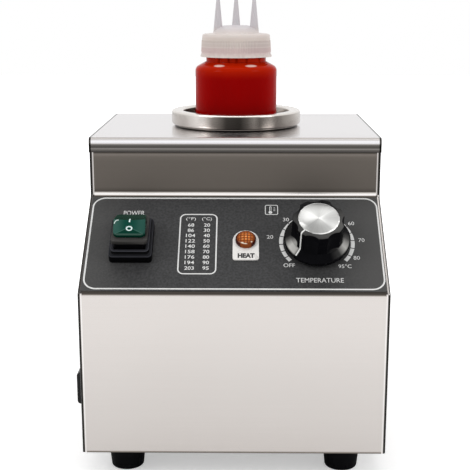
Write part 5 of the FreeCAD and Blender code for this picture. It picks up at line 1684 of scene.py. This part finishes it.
@dataclass
class PanelPrint:
    """The white print on the label: frame, words, table, scale and thermometer."""

    film: float = 0.42 * MM
    border: Outline = (214 * MM, 87.2 * MM, 9.5 * MM, 1.15 * MM)
    table_frame: Outline = (28 * MM, 57.2 * MM, 4.6 * MM, 0.95 * MM)
    border_place: Pair = (0.0, 47.2)
    table_place: Pair = (-26.7, 45.8)
    headings: tuple[tuple[str, str, float], ...] = (
        ("heading_f", "(°F)", -32.4),
        ("heading_c", "(°C)", -20.6),
    )
    heading_size: Pair = (3.8 * MM, 7.2 * MM)
    heading_up: float = 69.3
    digit_height: float = 3.2 * MM
    digit_width: float = 2.3
    digit_weight: float = 0.012
    mark_height: float = 3.4 * MM
    columns: Pair = (-32.2, -20.4)
    first_row: float = 63.5
    row_pitch: float = 5.08
    names: tuple[tuple[str, str, float, float, float, float], ...] = (
        ("power", "POWER", 4.4 * MM, 15.6 * MM, -75.2, 75.2),
        ("temperature", "TEMPERATURE", 4.0 * MM, 33.6 * MM, 60.8, 12.2),
    )
    icon_frame: Outline = (9.8 * MM, 9.8 * MM, 1.4 * MM, 0.55 * MM)
    icon_place: Pair = (27.5, 78.7)
    bulb: Pair = (0.2 * MM, 1.35 * MM)
    bulb_place: Pair = (26.7, 76.2)
    stem: Outline = (1.5 * MM, 5.2 * MM, 0.7 * MM, 0.4 * MM)
    stem_place: Pair = (26.7, 79.6)
    dash: Pair = (0.4 * MM, 1.3 * MM)
    dash_place: Pair = (29.6, 77.9)
    dash_pitch: float = 1.4
    ring: Pair = (24.7 * MM, 27.5 * MM)
    overlap: float = 0.8
    left_ends: tuple[float, ...] = (221.7, 211.5, 198.6, 184.1, 167.6)
    upper_ends: tuple[float, float, int] = (152.5, 14.75, 10)
    right_ends: tuple[float, ...] = (4.2, -11.8, -28.1, -41.4)
    rows: tuple[tuple[str, str], ...] = (
        ("68", "20"),
        ("86", "30"),
        ("104", "40"),
        ("122", "50"),
        ("140", "60"),
        ("158", "70"),
        ("176", "80"),
        ("194", "90"),
        ("203", "95"),
    )
    scale_marks: tuple[tuple[str, float, float], ...] = (
        ("OFF", 39.4, 25.7),
        ("20", 26.0, 52.2),
        ("30", 38.1, 69.1),
        ("40", 53.5, 79.0),
        ("50", 71.6, 77.8),
        ("60", 86.2, 65.5),
        ("70", 92.7, 49.4),
        ("80", 88.1, 32.7),
        ("95°C", 79.2, 25.0),
    )

    def lay(self, made: bpy.types.Object, across: float, up: float) -> bpy.types.Object:
        """Lay a flat drawing on the label, with its place in millimetres."""
        return Workshop.settle(made, CASE.panel(across * MM, up * MM, self.film))

    def frame_lines(self) -> bpy.types.Object:
        """The rounded line round the label and the one round the table.

        Returns:
            Both lines as one piece.
        """
        outer = self.lay(Workshop.frame_line("border", *self.border), *self.border_place)
        table = self.lay(Workshop.frame_line("table", *self.table_frame), *self.table_place)
        return Workshop.joined("print_frames", [outer, table])

    def table(self) -> bpy.types.Object:
        """The two columns of temperatures under their headings.

        Returns:
            The table as one piece.
        """
        words = [
            self.lay(Workshop.word(name, text, *self.heading_size), across, self.heading_up)
            for name, text, across in self.headings
        ]
        for row, pair in enumerate(self.rows):
            for text, across in zip(pair, self.columns):
                wide = self.digit_width * len(text) * MM
                word = Workshop.word(f"row_{row}_{text}", text, self.digit_height, wide, self.digit_weight)
                words.append(self.lay(word, across, self.first_row - self.row_pitch * row))
        return Workshop.joined("print_table", words)

    def words(self) -> bpy.types.Object:
        """The names of the switch and of the knob.

        Returns:
            Both words as one piece.
        """
        words = [
            self.lay(Workshop.word(name, text, high, wide), across, up)
            for name, text, high, wide, across, up in self.names
        ]
        return Workshop.joined("print_words", words)

    def scale(self) -> bpy.types.Object:
        """The segments round the knob and the marks beside them.

        Returns:
            The scale as one piece.
        """
        pieces = []
        first, pitch, count = self.upper_ends
        ends = [*self.left_ends, *(first - pitch * step for step in range(count)), *self.right_ends]
        for start, end in zip(ends, ends[1:]):
            sweep = end - start + 2 * self.overlap
            band = Workshop.arc_band("segment", *self.ring, start - self.overlap, sweep)
            pieces.append(Workshop.settle(band, CASE.panel(*CASE.knob, self.film)))
        for text, across, up in self.scale_marks:
            pieces.append(self.lay(Workshop.word(f"mark_{len(pieces)}", text, self.mark_height), across, up))
        return Workshop.joined("print_scale", pieces)

    def thermometer(self) -> bpy.types.Object:
        """The small framed thermometer beside the knob.

        Returns:
            The sign as one piece.
        """
        pieces = [
            self.lay(Workshop.frame_line("icon_frame", *self.icon_frame), *self.icon_place),
            self.lay(Workshop.arc_band("icon_bulb", *self.bulb, 0, 360), *self.bulb_place),
            self.lay(Workshop.frame_line("icon_stem", *self.stem), *self.stem_place),
        ]
        across, lowest = self.dash_place
        for tick in range(3):
            dash = Workshop.word(f"tick_{tick}", "-", *self.dash)
            pieces.append(self.lay(dash, across, lowest + self.dash_pitch * tick))
        return Workshop.joined("print_icon", pieces)

    def build(self) -> None:
        """Make the print and dress it."""
        FINISHES.of("control_label", Body.CASE, "label_film", LabelFilm())
        ink = FINISHES.get("white_ink", WhiteInk())
        for made in (self.frame_lines(), self.table(), self.words(), self.scale(), self.thermometer()):
            fit(made, Body.CASE, ink)


@dataclass
class Switch:
    """The rocker switch in its rubber boot, with its two marks."""

    frame_top: float = 2.32
    clip: float = 2.6
    above: float = 14.0
    deep: float = 4.0
    edge: float = 0.5
    sharpest: float = 24.0
    smoothing: float = 7.0
    ring: Pair = (1.4, 2.35)
    squash: float = 0.76
    bar: Pair = (1.0, 4.8)
    bar_along: float = 1.1
    ink: float = 0.05
    rows: tuple[tuple[float, float, float, float], ...] = (
        (-11.0, 4.9, 4.9, 11.3),
        (-5.96, 7.7, 6.5, 11.3),
        (0.0, 10.4, 9.2, 11.3),
        (14.4, 3.4, 3.2, 10.6),
    )

    @property
    def place(self) -> Matrix:
        """Where a piece drawn round the pivot rests, front edge up."""
        return Matrix.Translation(CASE.rocker_pivot) @ Matrix.Rotation(CASE.rocker_slope, 4, "X")

    def rocker(self) -> bpy.types.Object:
        """Model the rocker: two dished faces that meet in a ridge, its rear end lapping over the frame.

        Returns:
            The rocker, lying flat round its pivot.
        """
        Workshop.clear()
        bpy.ops.mesh.primitive_grid_add(x_subdivisions=2, y_subdivisions=3, size=MM)
        made = Workshop.named("rocker_cap")
        for row, (along, side, middle, half) in enumerate(self.rows):
            for column, (across, high) in enumerate(((-half, side), (0.0, middle), (half, side))):
                index = row * 3 + column
                Workshop.pick(made, lambda vertex, index=index: vertex.index == index)
                shift = Vector((across, along, high)) * MM - made.data.vertices[index].co
                bpy.ops.object.mode_set(mode="EDIT")
                bpy.ops.transform.translate(value=shift)
                bpy.ops.object.mode_set(mode="OBJECT")
        for corner in (0, 2):
            Workshop.pick(made, lambda vertex, corner=corner: vertex.index in (corner, 4))
            bpy.ops.object.mode_set(mode="EDIT")
            bpy.ops.mesh.vert_connect()
            bpy.ops.object.mode_set(mode="OBJECT")
        Workshop.pick(made, lambda vertex: vertex.index in (0, 2, 9, 11))
        bpy.ops.object.mode_set(mode="EDIT")
        bpy.ops.mesh.bevel(offset=self.clip * MM, segments=1, affect="VERTICES")
        bpy.ops.mesh.select_all(action="SELECT")
        bpy.ops.mesh.extrude_region_move(TRANSFORM_OT_translate={"value": (0, 0, -self.deep * MM)})
        bpy.ops.transform.resize(value=(1, 1, 0), center_override=(0, 0, self.frame_top * MM))
        bpy.ops.mesh.select_all(action="SELECT")
        bpy.ops.mesh.normals_make_consistent(inside=False)
        bpy.ops.object.mode_set(mode="OBJECT")
        sharpest = math.radians(self.sharpest)
        Workshop.apply(
            made, "BEVEL", width=self.edge * MM, segments=3, limit_method="ANGLE", angle_limit=sharpest
        )
        return made

    def marks(self, rocker: bpy.types.Object) -> bpy.types.Object:
        """Lay the round mark and the bar on the rocker's faces, before it is tilted.

        Args:
            rocker: The rocker, still lying flat.

        Returns:
            The marks.
        """
        ring = Workshop.arc_band("mark_off", self.ring[0] * MM, self.ring[1] * MM, 0, 360)
        over_ring = Matrix.Translation((0, self.rows[1][0] * MM, self.above * MM))
        ring.data.transform(over_ring @ Matrix.Diagonal((1, self.squash, 1, 1)))
        Workshop.clear()
        bpy.ops.mesh.primitive_grid_add(x_subdivisions=2, y_subdivisions=14, size=1)
        bar = Workshop.named("mark_on")
        over_bar = Matrix.Translation((0, self.bar_along * MM, self.above * MM))
        bar.data.transform(over_bar @ Matrix.Diagonal((self.bar[0] * MM, self.bar[1] * MM, 1, 1)))
        made = Workshop.joined("rocker_marks", [ring, bar])
        Workshop.apply(
            made,
            "SHRINKWRAP",
            target=rocker,
            wrap_method="PROJECT",
            use_project_z=True,
            use_negative_direction=True,
            use_positive_direction=False,
            offset=self.ink * MM,
        )
        return made

    def build(self) -> None:
        """Dress the switch and print its marks."""
        FINISHES.of("switch_boot", Body.CASE, "boot_rubber", BootRubber(), True)
        FINISHES.of("switch_collar", Body.ROCKER, "collar_plastic", FrameRubber(), True)
        rocker = self.rocker()
        marks = self.marks(rocker)
        Workshop.settle(rocker, self.place, self.smoothing)
        Workshop.settle(marks, self.place)
        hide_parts("switch_rocker")
        fit(rocker, Body.ROCKER, FINISHES.get("rocker_plastic", GreenPlastic()))
        fit(marks, Body.ROCKER, FINISHES.get("mark_ink", WhiteInk((0.72, 0.88, 0.86))))


@dataclass
class Lamp:
    """The heat lamp with its plate."""

    word_place: tuple[float, float, float] = (8.6 * MM, 33.7 * MM, 1.43 * MM)
    word_height: float = 4.5 * MM
    word_width: float = 12.3 * MM
    word_weight: float = 0.065

    def build(self) -> None:
        """Dress the lamp and print its word."""
        FINISHES.of("lamp_plate", Body.CASE, "plate_plastic", Plastic((0.82, 0.80, 0.775), 0.35, 0.4), True)
        FINISHES.of("lamp_lens", Body.CASE, "lens_plastic", LampLens(), True)
        word = Workshop.word("lamp_word", "HEAT", self.word_height, self.word_width, self.word_weight)
        word = Workshop.settle(word, CASE.panel(*self.word_place))
        fit(word, Body.CASE, FINISHES.get("black_ink", WhiteInk((0.012, 0.012, 0.012))))


@dataclass
class Knob:
    """The thermostat knob with its spun disc."""

    top: float = 27.0
    seat: float = 15.2
    rounding: float = 1.2
    slack: float = 0.05
    smoothing: float = 40.0

    def body(self) -> bpy.types.Object:
        """Round the upper edge of the knob's lobes.

        Returns:
            The knob's body.
        """
        made = Workshop.smooth_copy("knob_body")
        flat = CASE.panel(*CASE.knob).inverted()
        Workshop.merge_flats(made)

        def on_edge(vertex: bpy.types.MeshVertex) -> bool:
            """Whether a vertex lies on the outer edge of the grip's top."""
            across, up, off = flat @ vertex.co / MM
            return off > self.top - self.slack and math.hypot(across, up) > self.seat

        Workshop.pick(made, on_edge)
        bpy.ops.object.mode_set(mode="EDIT")
        bpy.ops.mesh.bevel(offset=self.rounding * MM, segments=4, affect="EDGES")
        bpy.ops.object.mode_set(mode="OBJECT")
        return Workshop.settle(made, Matrix.Identity(4), self.smoothing)

    def build(self) -> None:
        """Dress the knob."""
        fit(self.body(), Body.KNOB, FINISHES.get("knob_plastic", KnobPlastic()))
        FINISHES.of("knob_disc", Body.KNOB, "disc_aluminium", SpunDisc(), True)
        FINISHES.of("thermostat_spindle", Body.KNOB, "spindle_steel", PlatedSteel())


@dataclass
class Bottle:
    """The squeeze bottle, its sauce and its nozzle cap."""

    groove: float = 0.987
    slack: float = 0.01
    smoothing: float = 12.0
    sleeve: Steps = ((27.9, 299.5), (28.52, 299.9), (28.04, 308.9), (27.4, 309.3))

    def cap_ribs(self) -> bpy.types.Object:
        """Model the fine upright ribs round the cap's side.

        Returns:
            The ribbed sleeve.
        """
        profile = [(radius * MM, height * MM) for radius, height in self.sleeve]
        made = Workshop.turned("cap_ribs", profile, CAP_RIBS * 2)

        def in_groove(vertex: bpy.types.MeshVertex) -> bool:
            """Whether a vertex lies between two ribs, on the sleeve's outer side.

            Args:
                vertex: The vertex.

            Returns:
                Whether it does.
            """
            x, y, _ = vertex.co
            outside = math.hypot(x, y) > self.sleeve[2][0] * MM - self.slack * MM
            return outside and math.cos(math.atan2(x, -y) * CAP_RIBS) < 0

        Workshop.pick(made, in_groove)
        bpy.ops.object.mode_set(mode="EDIT")
        bpy.ops.transform.resize(value=(self.groove, self.groove, 1), center_override=(0, 0, 0))
        bpy.ops.object.mode_set(mode="OBJECT")
        return Workshop.settle(made, CASE.well(), self.smoothing)

    def build(self) -> None:
        """Dress the bottle and its cap."""
        FINISHES.of("bottle_shell", Body.BOTTLE, "bottle_plastic", ClearPlastic(), True)
        FINISHES.of("sauce_fill", Body.BOTTLE, "sauce", Sauce(), True)
        FINISHES.of("cap_gasket", Body.SEAL, "gasket_rubber", Plastic((0.60, 0.50, 0.46), 0.55))
        FINISHES.of("nozzle_cap", Body.CAP, "cap_plastic", MilkyPlastic(), True)
        fit(self.cap_ribs(), Body.CAP, FINISHES.get("cap_plastic", MilkyPlastic()))


@dataclass
class Studio:
    """The floor, the light and the camera."""

    camera_place: tuple[float, float, float] = (10.55 * MM, -802.6 * MM, 339.1 * MM)
    pitch: float = 12.95
    yaw: float = -0.58
    roll: float = 0.03
    focal: float = 77.56
    sensor: float = 36.0
    dimmed: float = 0.55
    floor_side: float = 8.0
    floor_white: Colour = (0.86, 0.86, 0.86)
    glow_zone: Pair = (0.12, 0.6)
    aim: tuple[float, float, float] = (0.0, 0.0, 0.15)
    lamps: tuple[tuple[str, tuple[float, float, float], float, float], ...] = (
        ("key", (-1.1, -0.7, 1.1), 0.55, 6.0),
        ("fill", (1.2, -0.7, 0.9), 0.55, 5.0),
        ("top", (0.0, 0.3, 1.6), 1.2, 6.0),
    )

    def camera(self) -> None:
        """Set the camera where the photograph was taken."""
        data = bpy.data.cameras.new("camera")
        data.lens = self.focal
        data.sensor_width = self.sensor
        made = bpy.data.objects.new("camera", data)
        bpy.context.scene.collection.objects.link(made)
        pitch, yaw = math.radians(self.pitch), math.radians(self.yaw)
        ahead = Vector((math.sin(yaw) * math.cos(pitch), math.cos(yaw) * math.cos(pitch), -math.sin(pitch)))
        turn = ahead.to_track_quat("-Z", "Y").to_matrix().to_4x4()
        turn = turn @ Matrix.Rotation(math.radians(self.roll), 4, "Z")
        made.matrix_world = Matrix.Translation(self.camera_place) @ turn
        bpy.context.scene.camera = made

    def floor(self) -> None:
        """Lay a pale floor that keeps a soft shadow."""
        Workshop.clear()
        bpy.ops.mesh.primitive_plane_add(size=self.floor_side)
        made = Workshop.named("floor")
        paint = Paint("floor_white")
        cloud = paint.noise(paint.place(), 3.0, 2.0)
        camera = paint.node("ShaderNodeLightPath", out="Is Camera Ray")
        glossy = paint.node("ShaderNodeLightPath", out="Is Glossy Ray")
        x, y, _ = paint.split(paint.place())
        away = ((x * x + y * y) ** 0.5).ease(*self.glow_zone)
        glow = (camera * (away * 0.6 + 0.4)).largest(glossy * away * 0.2)
        dress(
            made,
            paint.surface(
                Base_Color=paint.tone(cloud, self.floor_white, 0.01),
                Roughness=0.9,
                Emission_Color=paint.blend(glow, (0.0, 0.0, 0.0), (1.0, 1.0, 1.0)),
                Emission_Strength=1.0,
            ),
        )

    def light(self, name: str, place: Sequence[float], size: float, power: float) -> None:
        """Hang one soft square lamp that points at the warmer.

        Args:
            name: The lamp's name.
            place: Where it hangs.
            size: Its side.
            power: Its power in watts.
        """
        data = bpy.data.lights.new(name, "AREA")
        data.size = size
        data.energy = power
        made = bpy.data.objects.new(name, data)
        made.location = place
        made.rotation_euler = (Vector(self.aim) - Vector(place)).to_track_quat("-Z", "Y").to_euler()
        bpy.context.scene.collection.objects.link(made)

    def world(self) -> None:
        """Even white surroundings, a little dimmer for light than for the eye."""
        world = bpy.data.worlds.new("studio")
        world.use_nodes = True
        bpy.context.scene.world = world
        tree = world.node_tree
        tree.nodes.clear()
        rays = tree.nodes.new("ShaderNodeLightPath")
        seen, mirrored = (tree.nodes.new("ShaderNodeMath") for _ in range(2))
        for either in (seen, mirrored):
            either.operation = "MAXIMUM"
        tree.links.new(rays.outputs["Is Camera Ray"], seen.inputs[0])
        tree.links.new(rays.outputs["Is Glossy Ray"], mirrored.inputs[0])
        tree.links.new(rays.outputs["Is Transmission Ray"], mirrored.inputs[1])
        tree.links.new(mirrored.outputs[0], seen.inputs[1])
        dim, white = (tree.nodes.new("ShaderNodeBackground") for _ in range(2))
        for background, strength in ((dim, self.dimmed), (white, 1.0)):
            background.inputs[0].default_value = (1.0, 1.0, 1.0, 1.0)
            background.inputs[1].default_value = strength
        mix = tree.nodes.new("ShaderNodeMixShader")
        tree.links.new(seen.outputs[0], mix.inputs[0])
        tree.links.new(dim.outputs[0], mix.inputs[1])
        tree.links.new(white.outputs[0], mix.inputs[2])
        output = tree.nodes.new("ShaderNodeOutputWorld")
        tree.links.new(mix.outputs[0], output.inputs[0])

    def build(self) -> None:
        """Set up the studio."""
        self.camera()
        self.floor()
        self.world()
        for name, place, size, power in self.lamps:
            self.light(name, place, size, power)
        bpy.context.scene.view_settings.view_transform = "Standard"


def main() -> None:
    """Build the studio and dress the warmer, sub-assembly by sub-assembly."""
    Studio().build()
    Housing().dress()
    PanelPrint().build()
    Switch().build()
    Lamp().build()
    Knob().build()
    Bottle().build()


if __name__ == "__main__":
    main()
